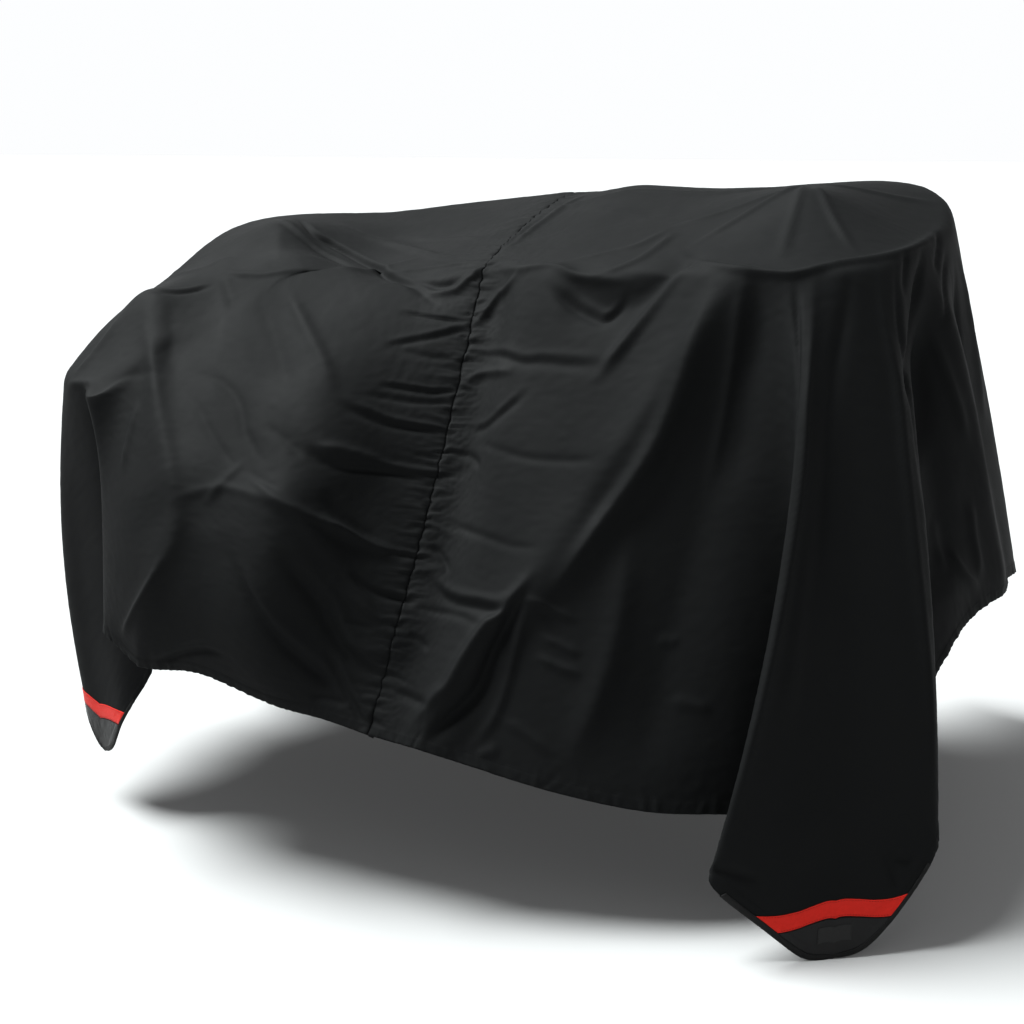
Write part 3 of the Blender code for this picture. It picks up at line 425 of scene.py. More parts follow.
# Creases of the cloth, in millimetres, each a soft ridge or trough laid along the cut: name, height
# (a trough is negative), width at each end, height of the lip to its left, and the cut points that
# it runs through.
CREASES = (
    ("deep fold across the top's left", -12, 7, 6, 2.5,
     ((-520, -10), (-440, -100), (-380, -115), (-330, -135), (-270, -180), (-190, -250), (-120, -295),
      (-40, -345))),
    ("second fold of the top's left", -3, 8, 7, 3,
     ((-550, -60), (-480, -130), (-400, -165), (-330, -190), (-270, -240))),
    ("swell behind the left disc's rim", 7, 30, 30, 0,
     ((-500, -240), (-400, -245), (-300, -250), (-200, -300))),
    ("ridge over the deep fold, far", 4, 12, 12, 0, ((-450, 20), (-380, -20), (-240, -40))),
    ("top left, far line", 3, 10, 10, 0, ((-390, 210), (-130, 150))),
    ("ridge to the turn, far", 4, 8, 6, 0, ((-300, 10), (-210, -20), (-60, -70))),
    ("ridge to the turn, middle", 6, 9, 6, 0,
     ((-360, -30), (-250, -60), (-160, -140), (-90, -180), (0, -170))),
    ("ridge to the turn, near", 5, 7, 6, 0, ((-230, -215), (-120, -225), (0, -210))),
    ("trough before the turn", -6, 7, 6, 0, ((-160, -260), (-80, -290), (-20, -270))),
    ("lit edge left of the turn", 7, 7, 6, 0, ((-110, -310), (-50, -300), (-30, -280), (10, -230))),
    ("lit edge right of the turn", 8, 7, 7, 0, ((0, -370), (40, -310), (60, -300), (90, -270))),
    ("ridge along the far seam", 5, 6, 8, 0, ((10, -190), (30, -80), (40, 0), (50, 60), (70, 180))),
    ("second ridge along the far seam", 3, 5, 6, 0, ((-10, -200), (12, -50), (20, 60))),
    ("top, ridge by the seam, far", 4, 8, 8, 0, ((220, 100), (120, 80), (20, 30))),
    ("top, line to the right disc, far", 3, 10, 10, 0, ((90, 30), (270, -70))),
    ("top, line to the right disc, near", 4, 6, 6, 0, ((140, -265), (230, -230), (290, -200), (330, -120))),
    ("top, second line to the right disc", 5, 6, 6, 0,
     ((230, -310), (300, -280), (330, -210), (340, -140))),
    ("edge of the top over the drums", 7, 7, 7, 0,
     ((20, -240), (90, -270), (150, -270), (210, -300), (330, -330))),
    ("swag under the drums' edge", -7, 7, 6, 3,
     ((150, -310), (210, -350), (250, -370), (280, -380), (305, -360), (310, -330))),
    ("left disc's rim, left", 4, 6, 6, 0,
     ((-720, -170), (-660, -250), (-600, -275), (-560, -250), (-520, -295))),
    ("left disc's rim", 5, 6, 6, 0, ((-560, -290), (-510, -315), (-450, -330), (-400, -320), (-350, -290))),
    ("ridge on the left disc", 2, 10, 12, 0, ((-490, -130), (-420, -300))),
    ("dark line left of the left disc", -5, 5, 5, 3, ((-660, -405), (-600, -385), (-540, -340))),
    ("swell under the left disc", 6, 12, 12, 0, ((-540, -310), (-460, -420))),
    ("light edge right of the left disc", 6, 8, 11, 0,
     ((-380, -330), (-290, -400), (-240, -440), (-200, -480), (-170, -530))),
    ("trough beside that edge", -4, 12, 16, 0, ((-430, -350), (-330, -440), (-240, -540))),
    ("dark line under the left disc", -3.5, 9, 9, 0,
     ((-500, -520), (-420, -530), (-360, -560), (-320, -610), (-240, -650))),
    ("second dark line there", -3, 8, 8, 0, ((-460, -560), (-380, -640), (-300, -680))),
    ("third dark line there", -2.5, 6, 6, 0, ((-290, -580), (-230, -600), (-180, -630))),
    ("fourth dark line there", -2.5, 6, 6, 0, ((-300, -665), (-250, -680), (-200, -695))),
    ("ridge from the rod to the left hem", 6, 12, 20, 0,
     ((-670, -380), (-620, -470), (-580, -520), (-530, -570), (-460, -670), (-410, -770), (-400, -840),
      (-430, -920), (-470, -990), (-570, -1100))),
    ("trough right of that ridge", -2, 12, 18, 0, ((-610, -400), (-540, -500), (-440, -600))),
    ("dark line under the rod", -2, 8, 8, 0, ((-650, -585), (-570, -560), (-500, -550))),
    ("second ridge from the rod", 5, 8, 8, 0, ((-690, -420), (-750, -560))),
    ("low disc's rim", 4, 6, 6, 0, ((-770, -555), (-660, -595))),
    ("line over the left ridge", 5, 7, 7, 0, ((-560, -600), (-565, -750))),
    ("bright line near the left hem", 6, 5, 6, 0, ((-410, -860), (-450, -950), (-560, -1090))),
    ("low drum's rim", 3, 7, 7, 0, ((-430, -785), (-360, -735), (-290, -710), (-210, -715), (-140, -750))),
    ("soft trough under the low drum's rim", -2, 26, 26, 0, ((-400, -820), (-280, -760), (-170, -760))),
    ("line down from the low drum's rim", 4, 6, 6, 0, ((-300, -650), (-360, -770))),
    ("arc near the left hem", -6, 7, 7, 3, ((-460, -1110), (-370, -1080), (-320, -1060), (-260, -1045))),
    ("thin pucker at the seam, top", -4, 4, 4, 2, ((-140, -350), (-70, -360), (0, -360))),
    ("leaf at the seam, upper edge", -3, 5, 5, 2, ((-140, -425), (-60, -400), (10, -360))),
    ("leaf at the seam, lower edge", -2.5, 5, 5, 0, ((-130, -420), (-50, -435), (0, -420))),
    ("thin pucker at the seam, third", -3.5, 4, 4, 2, ((-120, -495), (-40, -500), (0, -490))),
    ("thin pucker at the seam, fourth", -3, 4, 4, 0, ((-140, -510), (-60, -522), (10, -510))),
    ("thick pucker at the seam", -5, 6, 5, 3, ((-170, -525), (-100, -560), (-60, -570), (10, -570))),
    ("light ridge over the thick trough", 5, 6, 6, 0, ((-180, -600), (-120, -620), (-60, -640))),
    ("thick trough at the seam", -6, 7, 6, 3, ((-200, -600), (-130, -645), (-50, -655), (10, -660))),
    ("dark slant at the seam", -5, 8, 7, 0, ((-150, -680), (-100, -750), (-40, -790))),
    ("broad trough over the slant", -5, 18, 16, 0, ((-270, -560), (-130, -670), (-30, -800))),
    ("light line under the slant", 7, 6, 6, 0, ((-150, -730), (-80, -780), (-10, -805))),
    ("thin pucker across the seam", -3, 4, 4, 0, ((-50, -800), (30, -800))),
    ("thin ridge to the seam", 7, 8, 7, 0, ((-290, -665), (-150, -740), (-20, -815))),
    ("ridge from the low drum's right", 7, 9, 9, 0, ((-200, -700), (-10, -950))),
    ("short trough at the seam", -6, 5, 5, 0, ((-90, -840), (-40, -875), (30, -880))),
    ("line under the low drum", 5, 5, 5, 0, ((-130, -820), (-70, -890), (-20, -930))),
    ("short pucker low at the seam", -3, 4, 4, 0, ((-80, -930), (-30, -940))),
    ("strong trough under the low drum", -9, 11, 10, 6,
     ((-200, -780), (-120, -890), (-100, -930), (-70, -980), (-30, -1010), (30, -1035))),
    ("second strong trough", -8, 11, 12, 4, ((-290, -820), (-170, -970), (-30, -1100))),
    ("thin trough down to the hem", -6, 6, 6, 3, ((-100, -980), (-50, -1060), (0, -1120))),
    ("short trough at the hem", -5, 6, 6, 0, ((-120, -1080), (-40, -1080))),
    ("thin trough right of the seam", -3.5, 5, 9, 2,
     ((0, -415), (80, -430), (140, -450), (200, -450), (340, -465))),
    ("light ridge right of the seam", 5, 6, 6, 0, ((0, -485), (40, -457), (140, -468))),
    ("slanting trough right of the seam", -3, 6, 6, 2, ((30, -565), (90, -560), (140, -530), (180, -490))),
    ("thin line across the face, upper", -2.5, 5, 5, 0,
     ((60, -585), (180, -610), (270, -610), (380, -610))),
    ("short pucker right of the seam", -4, 5, 5, 0, ((10, -610), (50, -610), (100, -635))),
    ("thin line across the face, lower", -2.5, 5, 5, 0,
     ((30, -735), (140, -750), (220, -760), (290, -750))),
    ("second pucker right of the seam", -4, 5, 5, 0, ((10, -775), (40, -790), (80, -825))),
    ("crescent right of the seam", -5, 8, 8, 4,
     ((10, -825), (70, -860), (120, -870), (170, -870), (230, -865), (280, -810))),
    ("line under the crescent", -3, 5, 5, 0, ((10, -890), (80, -890), (140, -890), (210, -905))),
    ("short pucker under the crescent", -3, 5, 5, 0, ((20, -935), (80, -955))),
    ("low line right of the seam", -5, 6, 6, 0, ((20, -1035), (130, -1050))),
    ("first streak below the disc", 10, 8, 10, 0, ((430, -290), (360, -390), (290, -490))),
    ("main band below the disc", 19, 18, 30, 0,
     ((485, -330), (480, -430), (465, -530), (445, -600), (405, -670), (365, -730), (310, -810),
      (240, -900))),
    ("bright crest of the main band", 6, 6, 11, 0,
     ((475, -340), (470, -430), (452, -530), (430, -600), (390, -670), (350, -730), (290, -810))),
    ("crisp ridge below the band", 11, 5, 14, 0,
     ((280, -770), (230, -870), (200, -900), (170, -960), (150, -1010), (120, -1040), (70, -1120))),
    ("deep hollow right of that ridge", -18, 9, 14, 0,
     ((270, -810), (235, -920), (215, -1000), (170, -1060), (120, -1120))),
    ("right edge of the hollow", 6, 6, 8, 0,
     ((270, -830), (265, -920), (262, -980), (250, -1040), (210, -1110))),
    ("face, upper line", 5, 5, 5, 0, ((250, -840), (300, -840), (380, -855))),
    ("face, second line", 4, 5, 5, 0, ((300, -885), (400, -905))),
    ("face, third line", 4, 5, 5, 0, ((300, -920), (410, -935))),
    ("face, low line", 3, 6, 6, 0, ((260, -1030), (310, -1040), (390, -1065))),
    ("face, line at the hem", 4, 8, 8, 0, ((230, -1100), (280, -1080))),
    ("face, broad ridge", 10, 30, 30, 0, ((430, -680), (450, -890), (410, -1100))),
    ("face, small line, upper", 3, 6, 6, 0, ((530, -870), (580, -870))),
    ("face, small line, lower", 3, 7, 7, 0, ((580, -955), (680, -970))),
    ("right disc's rim", 8, 5, 5, 0,
     ((350, -200), (380, -250), (430, -300), (490, -335), (550, -345), (610, -340), (670, -290),
      (730, -230), (770, -150), (790, -40), (790, 60))),
    ("line from the tip, left", 5, 4, 6, 0, ((560, -20), (450, -90), (310, -130))),
    ("line from the tip, front left", 5, 4, 6, 0, ((560, 0), (470, -130), (380, -240))),
    ("line from the tip, front", 4, 4, 8, 0, ((540, 40), (570, -330))),
    ("line from the tip, front right", 5, 4, 6, 0, ((560, -10), (610, -120), (690, -250))),
    ("line from the tip, right", 4, 4, 8, 0, ((540, 50), (650, 50), (780, 100))),
    ("line from the tip, far left", 4, 5, 8, 0, ((540, 40), (110, 110))),
    ("edge under the disc's front", 7, 7, 12, 0, ((520, -330), (535, -430), (550, -550), (560, -680))),
    ("dark hollow under the disc's front", -9, 8, 40, 0,
     ((540, -330), (570, -440), (585, -530), (610, -680))),
    ("trough left of the ear's edge", -7, 5, 7, 0, ((605, -345), (670, -430), (760, -550))),
    ("right ear's left edge", 10, 6, 8, 0,
     ((610, -310), (700, -410), (780, -510), (870, -610), (1050, -840), (1250, -1100))),
    ("right ear's second ridge", 6, 9, 10, 0, ((900, -600), (1160, -910))),
    ("soft trough in the ear", -7, 9, 14, 0, ((670, -270), (730, -360), (820, -480), (1050, -740))),
    ("right ear's right edge", 7, 5, 8, 0,
     ((710, -240), (790, -320), (890, -390), (1010, -490), (1180, -620), (1360, -750), (1470, -830))),
    ("trough right of the ear's right edge", -7, 6, 10, 0,
     ((740, -220), (830, -310), (940, -385), (1100, -510))),
    ("dark trough right of the disc", -12, 8, 14, 0,
     ((770, -120), (820, -180), (875, -250), (900, -340), (940, -420))),
    ("short trough at the right rim", -5, 5, 6, 0, ((750, -180), (810, -260))),
    ("second short trough there", -5, 6, 6, 0, ((780, -40), (850, -130))),
    ("third short trough there", -6, 6, 7, 0, ((830, -45), (940, -180))),
    ("edge of the right side's hollow", 7, 6, 8, 0, ((900, -185), (1050, -200), (1200, -215))),
    ("right side's hollow", -15, 12, 22, 0, ((910, -215), (1040, -255), (1140, -330))),
    ("dark line near the right side's edge", -6, 7, 9, 0, ((850, -20), (1050, -70), (1280, -120))),
    ("right side, line into the ear", 6, 10, 10, 0, ((1250, -335), (1380, -365))),
    ("right side, hooked line", 6, 9, 9, 0, ((1340, -335), (1420, -325), (1480, -285))),
    ("right side, upper line", 6, 9, 9, 0, ((1280, -245), (1470, -285))),
    ("right ear, crease at the strip", -6, 7, 6, 0, ((1410, -905), (1500, -945))),
    ("right ear, second crease there", -5, 6, 6, 0, ((1440, -910), (1490, -900))),
    ("right ear, crease at the left hem", -6, 7, 7, 0, ((1240, -1105), (1300, -1065))),
    ("right side, drag line, upper", 6, 9, 14, 0, ((840, 20), (1000, 20), (1220, -20))),
    ("right side, drag line, lower", -7, 10, 16, 0, ((950, 100), (1150, 130), (1400, 120))),
    ("right side, back drag line", 8, 9, 16, 0, ((800, 240), (980, 340), (1240, 460))),
    ("back right ear, ridge", 8, 9, 14, 0, ((760, 320), (980, 500), (1300, 780))),
    ("back right ear, trough", -9, 10, 16, 0, ((700, 350), (800, 500), (980, 780))),
    ("back, ridge under the right disc", 8, 8, 16, 0, ((600, 280), (580, 450), (640, 750))),
    ("back, trough beside it", -9, 9, 18, 0, ((500, 300), (460, 480), (480, 800))),
    ("back, long ridge to the seam", 8, 8, 12, 0, ((420, 310), (280, 440), (100, 660))),
    ("back, second ridge to the seam", 6, 7, 10, 0, ((340, 380), (200, 580), (40, 860))),
    ("back, trough to the seam", -10, 9, 10, 4, ((260, 360), (140, 480), (20, 560))),
    ("back, crescent by the seam", -10, 8, 8, 5, ((260, 700), (140, 760), (20, 720))),
    ("back, thin line by the seam", -5, 5, 5, 0, ((300, 600), (160, 620), (20, 600))),
    ("back left, ridge to the seam", 7, 8, 10, 0, ((-300, 260), (-180, 380), (-30, 460))),
    ("back left, trough to the seam", -10, 9, 9, 4, ((-20, 600), (-140, 520), (-300, 380))),
    ("back left, long ridge", 9, 9, 16, 0, ((-340, 240), (-300, 460), (-340, 840))),
    ("back left, second trough", -8, 9, 14, 0, ((-200, 340), (-160, 560), (-200, 860))),
    ("back left, puckers, upper", -6, 6, 6, 3, ((-20, 700), (-100, 680), (-200, 620))),
    ("back left, puckers, lower", -6, 6, 6, 0, ((-20, 820), (-120, 800), (-220, 760))),
    ("back left ear, ridge", 8, 9, 14, 0, ((-520, 200), (-680, 440), (-900, 780))),
    ("back left ear, trough", -9, 10, 16, 0, ((-460, 240), (-500, 480), (-600, 800))),
    ("left side, drag line, back", 8, 9, 16, 0, ((-640, 100), (-840, 200), (-1140, 360))),
    ("left side, drag line, middle", -8, 10, 16, 0, ((-740, -20), (-920, 20), (-1180, 20))),
    ("left side, drag line, front", 7, 9, 14, 0, ((-760, -200), (-920, -220), (-1180, -300))),
    ("left side, trough into the ear", -8, 9, 14, 0, ((-780, -340), (-940, -440), (-1120, -600))),
)
MILLIMETRES_PER_METRE = 1000

# How round a crease's crest is, the share of its length that each end fades over, the steps between
# its points, and how many widths off it is still worked out. The lip lies LIP_OFFSET widths aside.
CREASE_CREST = 0.0025
CREASE_POWER = 1.5
CREASE_FADE = 0.30
CREASE_MARGIN = 5
PATH_STEPS = 6
LIP_OFFSET = 1.9
LIP_WIDTH = 1.1

# Gathers along the seam: how many stand on each side, where each lies in its share of the seam, their
# size and slant, how far from the seam they reach their full height, and how deep the seam lies.
GATHERS = 130
GATHER_SHIFT = (0.1, 0.9)
GATHER_REACH = (0.018, 0.100)
GATHER_WIDTH = (0.0036, 0.0080)
GATHER_RISE = (-0.0026, 0.0026)
GATHER_SLANT = (-0.35, 0.35)
GATHER_START = 0.006
SEAM_DEPTH = 0.0022
SEAM_SIDE = 0.0045

# The seam's own small wave: height, spacing of its knots, and how far from the seam it is felt.
SEAM_WAVE = 0.0020
SEAM_WAVE_LENGTH = 0.012
SEAM_WAVE_REACH = 0.020

# The seam's two allowances, turned under: depth below the cloth, and reach across the seam.
LEFT_ALLOWANCE = ((0.003, 0.0), (0.007, 0.0), (0.011, 0.006))
RIGHT_ALLOWANCE = ((0.003, 0.0), (0.006, 0.0))

# The turned hem: how wide it is, the step up to its thicker edge and how far the step runs, how far
# its inner layer lies below, also at the sides and as a share at the very edge, and its rows.
HEM_TURN = 0.020
HEM_STEP = 0.0008
HEM_STEP_RUN = 0.002
HEM_BELOW = 0.0013
SIDE_HEM_BELOW = HEM_BELOW * 1.4
EDGE_BELOW_SHARE = 0.6
HEM_ROWS = 6

# Puckers that run in from the hem. Each reaches no further along it than the span, and the shift
# keeps the puckers of the sides apart from those of the front and the back.
HEM_PUCKERS = 320
HEM_PUCKER_SPAN = 0.12
SIDE_SHIFT = 4
HEM_PUCKER_REACH = (0.020, 0.055)
HEM_PUCKER_WIDTH = (0.005, 0.010)
HEM_PUCKER_RISE = (-0.0018, 0.0018)
HEM_PUCKER_SLANT = (-1.2, 1.2)

# Near its corners the cloth lies calm: from this far, and fully puckered this much further on.
CALM_FROM = 0.12
CALM_REACH = 0.16

# How the cloth settles: spare length as a share of it, plain, at the seam and at the hem, how far in
# from there it fades, how firmly the cloth keeps its shape and how much less at the seam and the
# hem, how stiff it is, and the small unevenness that it starts from.
PLAIN_SLACK = 0.004
GATHER_SLACK = 0.08
GATHER_SLACK_REACH = 0.035
HEM_SLACK = 0.04
HEM_SLACK_REACH = 0.022
PLAIN_HOLD = 0.05
LOOSER_SHARE = 0.8
SHEAR_STRENGTH = 0.5
BEND_STRENGTH = 0.02
SETTLE_PASSES = 120
START_NOISE = 0.0004
SEED = 11

# Thread of the sewing: a stitch's length, pitch and radius, and at the shares of its length that
# follow, how many radii it rises over the cloth and how thick it is.
STITCH_LENGTH = 0.0032
STITCH_PITCH = 0.0046
STITCH_RADIUS = 0.00032
STITCH_SIDES = 5
STITCH_SHARES = np.array([0.0, 0.25, 0.75, 1.0])
STITCH_RISES = np.array([-1.2, 0.2, 0.2, -1.2]) * STITCH_RADIUS
STITCH_RADII = np.array([0.6, 1.0, 1.0, 0.6]) * STITCH_RADIUS

# Where the sewing runs: in from an edge, how high it lies, and the steps of its lines.
HEM_SEWING_LIFT = 0.0002
SEWING_END = 0.004
BINDING_SEWING_INSETS = (0.0022, 0.0062)
BINDING_SEWING_LIFT = 0.0003
STRIP_SEWING_INSET = 0.0022
STRIP_SEWING_END = 0.014
LABEL_SEWING_INSET = 0.0015
ACROSS_STEPS = 400
ALONG_STEPS = 500
BINDING_SEWING_STEPS = 300
STRIP_SEWING_STEPS = 200
LABEL_SEWING_STEPS = 40

# Cells of each trim piece, along the edge and in from it.
STRIP_CELLS = (110, 12)
PATCH_CELLS = (110, 36)
LABEL_CELLS = (36, 16)
BINDING_STEPS = 240

# The binding's folded tape: how far its middle lies below the cloth, how much it swells and at which
# shares of its width, and the shares of its reach and of its height that its nose runs through.
BINDING_BELOW = HEM_BELOW * 0.7
BINDING_SWELL = 0.0003
BINDING_SWELL_SHARES = (0.8, 0.4)
BINDING_NOSE_SHARES = ((0.7, 0.7), (1.0, 0.3))

# Colours of the materials, and the two that a tinted one runs between.
CLOTH_COLOR = (0.0037, 0.0040, 0.0042)
CLOTH_TINTS = ((0.0034, 0.0037, 0.0039), (0.0042, 0.0046, 0.0048))
PATCH_COLOR = (0.0036, 0.0036, 0.0038)
STRIP_COLOR = (0.50, 0.012, 0.006)
STRIP_TINTS = ((0.44, 0.009, 0.004), (0.60, 0.016, 0.008))
TAPE_COLOR = (0.004, 0.004, 0.004)
LABEL_COLOR = (0.014, 0.014, 0.014)
THREAD_COLOR = (0.005, 0.005, 0.005)

# Shader values that the materials share: the range that a noise mostly keeps to, and how many
# radians a wave texture of scale 1 turns in a metre.
SHEEN_ROUGHNESS = 0.45
COAT_ROUGHNESS = 0.3
NOISE_LOW = 0.3
NOISE_HIGH = 0.7
BAND_SCALE = 20


def smooth_path(points):
    """Close points of a smooth curve through a few."""
    before = np.concatenate([2 * points[:1] - points[1:2], points, 2 * points[-1:] - points[-2:-1]])
    slopes = (before[2:] - before[:-2]) / 2
    t = np.linspace(0, 1, PATH_STEPS, endpoint=False)[:, None]
    spans = [
        between(t, start, slope_in, end, slope_out)
        for start, end, slope_in, slope_out in zip(points[:-1], points[1:], slopes[:-1], slopes[1:])
    ]
    return np.concatenate(spans + [points[-1:]])


def beside_path(here, path):
    """How far to the left of a path each cut point lies, and its share of the way along."""
    nearest = np.full(len(here), np.inf)
    aside, along = np.zeros(len(here)), np.zeros(len(here))
    travelled = 0.0
    for first, last in zip(path[:-1], path[1:]):
        run = last - first
        length = np.hypot(*run)
        t = np.clip((here - first) @ run / length**2, 0, 1)
        off = here - first - t[:, None] * run
        away = np.hypot(off[:, 0], off[:, 1])
        closer = away < nearest
        turn = np.sign(run[0] * off[:, 1] - run[1] * off[:, 0])
        nearest[closer] = away[closer]
        aside[closer] = (turn * away)[closer]
        along[closer] = (travelled + t * length)[closer]
        travelled += length
    return aside, along / travelled


def crease_lift(u, v):
    """How far the creases lift the cloth at each cut point."""
    lift = np.zeros(u.shape)
    for _, *sizes, points in CREASES:
        rise, from_width, to_width, lip = np.array(sizes) / MILLIMETRES_PER_METRE
        path = smooth_path(np.array(points) / MILLIMETRES_PER_METRE)
        (low_u, low_v), (high_u, high_v) = path.min(axis=0), path.max(axis=0)
        margin = CREASE_MARGIN * max(from_width, to_width)
        near = (u > low_u - margin) & (u < high_u + margin) & (v > low_v - margin) & (v < high_v + margin)
        aside, along = beside_path(np.stack([u[near], v[near]], axis=-1), path)
        width = from_width + (to_width - from_width) * along
        fade = np.clip(along / CREASE_FADE, 0, 1) * np.clip((1 - along) / CREASE_FADE, 0, 1)
        fade = fade**2 * (3 - 2 * fade)
        away = np.sqrt(aside**2 + CREASE_CREST**2) - CREASE_CREST
        beside = (aside - LIP_OFFSET * width) / (LIP_WIDTH * width)
        crest = rise * np.exp(-((away / width) ** CREASE_POWER))
        lift[near] += (crest + lip * np.exp(-(beside**2))) * fade
    return lift


def gather_lift(u, v, draws):
    """Short ridges and troughs that run out from the seam on each side."""
    lift = np.zeros(u.shape)
    for side in (-1, 1):
        away = side * u
        for k in range(GATHERS):
            share = (k + draws.uniform(*GATHER_SHIFT)) / GATHERS
            start = -FRONT_LENGTH + (FRONT_LENGTH + BACK_LENGTH) * share
            reach = draws.uniform(*GATHER_REACH)
            width = draws.uniform(*GATHER_WIDTH)
            rise = draws.uniform(*GATHER_RISE)
            slant = draws.uniform(*GATHER_SLANT)
            aside = (v - start - slant * away) / (width * (1 + away / reach))
            fade = np.clip(1 - away / reach, 0, 1) * (away > -1e-9)
            lift += rise * np.exp(-(aside**2)) * fade * np.minimum(away / GATHER_START, 1)
    return lift - SEAM_DEPTH * np.exp(-np.abs(u) / SEAM_SIDE)


def seam_wave(v, draws):
    """A gentle random wave along the seam, from -1 to 1 or a little past them."""
    knots = np.arange(-FRONT_LENGTH, BACK_LENGTH + SEAM_WAVE_LENGTH, SEAM_WAVE_LENGTH)
    heights = draws.uniform(-1, 1, len(knots) + 1)
    at = (v + FRONT_LENGTH) / SEAM_WAVE_LENGTH
    cell = at.astype(int)
    share = (1 - np.cos((at - cell) * math.pi)) / 2
    return heights[cell] * (1 - share) + heights[cell + 1] * share


def from_hems(u, v):
    """How far each cut point lies from the nearer side hem, and from the front or back hem."""
    across = np.where(u < 0, LEFT_WIDTH + u, RIGHT_WIDTH - u)
    along = np.where(v < 0, FRONT_LENGTH + v, BACK_LENGTH - v)
    return across, along


def hem_distance(u, v):
    """How far in from the hem each cut point lies, with its place along the hem."""
    across, along = from_hems(u, v)
    return np.minimum(across, along), np.where(along < across, u, v + SIDE_SHIFT * np.sign(u))


def puckering(u, v):
    """How much the cloth may pucker: 0 at a corner and 1 away from the corners."""
    return np.clip((np.hypot(*from_hems(u, v)) - CALM_FROM) / CALM_REACH, 0, 1)


def hem_lift(u, v, draws):
    """Puckers that run in from the hem, and the thicker turned edge."""
    into, along = hem_distance(u, v)
    lift = np.zeros(u.shape)
    for _ in range(HEM_PUCKERS):
        start = draws.uniform(along.min(), along.max())
        reach = draws.uniform(*HEM_PUCKER_REACH)
        width = draws.uniform(*HEM_PUCKER_WIDTH)
        rise = draws.uniform(*HEM_PUCKER_RISE)
        slant = draws.uniform(*HEM_PUCKER_SLANT)
        near = (into < reach) & (np.abs(along - start) < HEM_PUCKER_SPAN)
        aside = (along[near] - start - slant * into[near]) / width
        lift[near] += rise * np.exp(-(aside**2)) * (1 - into[near] / reach)
    return lift * puckering(u, v) + HEM_STEP * np.clip((HEM_TURN - into) / HEM_STEP_RUN, 0, 1)


def pulled(points, first, second, rest, strength):
    """Brings pairs of grid points towards their rest distance. first and second are slices of the grid."""
    apart = points[second] - points[first]
    length = np.sqrt((apart**2).sum(axis=-1))
    move = apart * (strength * 0.5 * (1 - rest / length))[..., None]
    points[first] += move
    points[second] -= move


def pairs(columns, rows):
    """Slices of neighbouring grid points, in sets that share no point: along, across and diagonal."""
    found = []
    for odd in (0, 1):
        last = odd + (columns - odd) // 2 * 2
        near, next_one = slice(odd, last - 1, 2), slice(odd + 1, last, 2)
        found.append(("u", (near, slice(None)), (next_one, slice(None))))
        found.append(("rise", (near, slice(None, -1)), (next_one, slice(1, None))))
        found.append(("fall", (near, slice(1, None)), (next_one, slice(None, -1))))
        last = odd + (rows - odd) // 2 * 2
        near, next_one = slice(odd, last - 1, 2), slice(odd + 1, last, 2)
        found.append(("v", (slice(None), near), (slice(None), next_one)))
    return found


def settled(places, slack_u, slack_v, hold):
    """Lets the cloth buckle where it has slack, and otherwise hold the shape it has."""
    points = places.copy()
    slack = {"u": slack_u, "v": slack_v, "rise": (slack_u + slack_v) / 2, "fall": (slack_u + slack_v) / 2}
    strength = {"u": 1.0, "v": 1.0, "rise": SHEAR_STRENGTH, "fall": SHEAR_STRENGTH}
    sets = []
    for kind, first, second in pairs(*places.shape[:2]):
        rest = np.linalg.norm(places[second] - places[first], axis=-1)
        rest *= 1 + (slack[kind][first] + slack[kind][second]) / 2
        sets.append((first, second, rest, strength[kind]))
    for _ in range(SETTLE_PASSES):
        for first, second, rest, strong in sets:
            pulled(points, first, second, rest, strong)
        for axis in (0, 1):
            line = np.swapaxes(points, 0, axis)
            line[1:-1] += BEND_STRENGTH * (0.5 * (line[:-2] + line[2:]) - line[1:-1])
        points += hold[..., None] * (places - points)
    return points


def grid_lines(stretches):
    return np.concatenate(
        [np.linspace(start, end, cells + 1)[:-1] for start, end, cells in stretches]
        + [[stretches[-1][1]]]
    )


def unrounded(u, v):
    """The points of the sharp rectangle that rounded moves to u, v."""
    sharp_u, sharp_v = np.array(u, float), np.array(v, float)
    for _ in range(ROUND_STEPS):
        moved_u, moved_v = rounded(sharp_u, sharp_v)
        sharp_u += u - moved_u
        sharp_v += v - moved_v
    return sharp_u, sharp_v


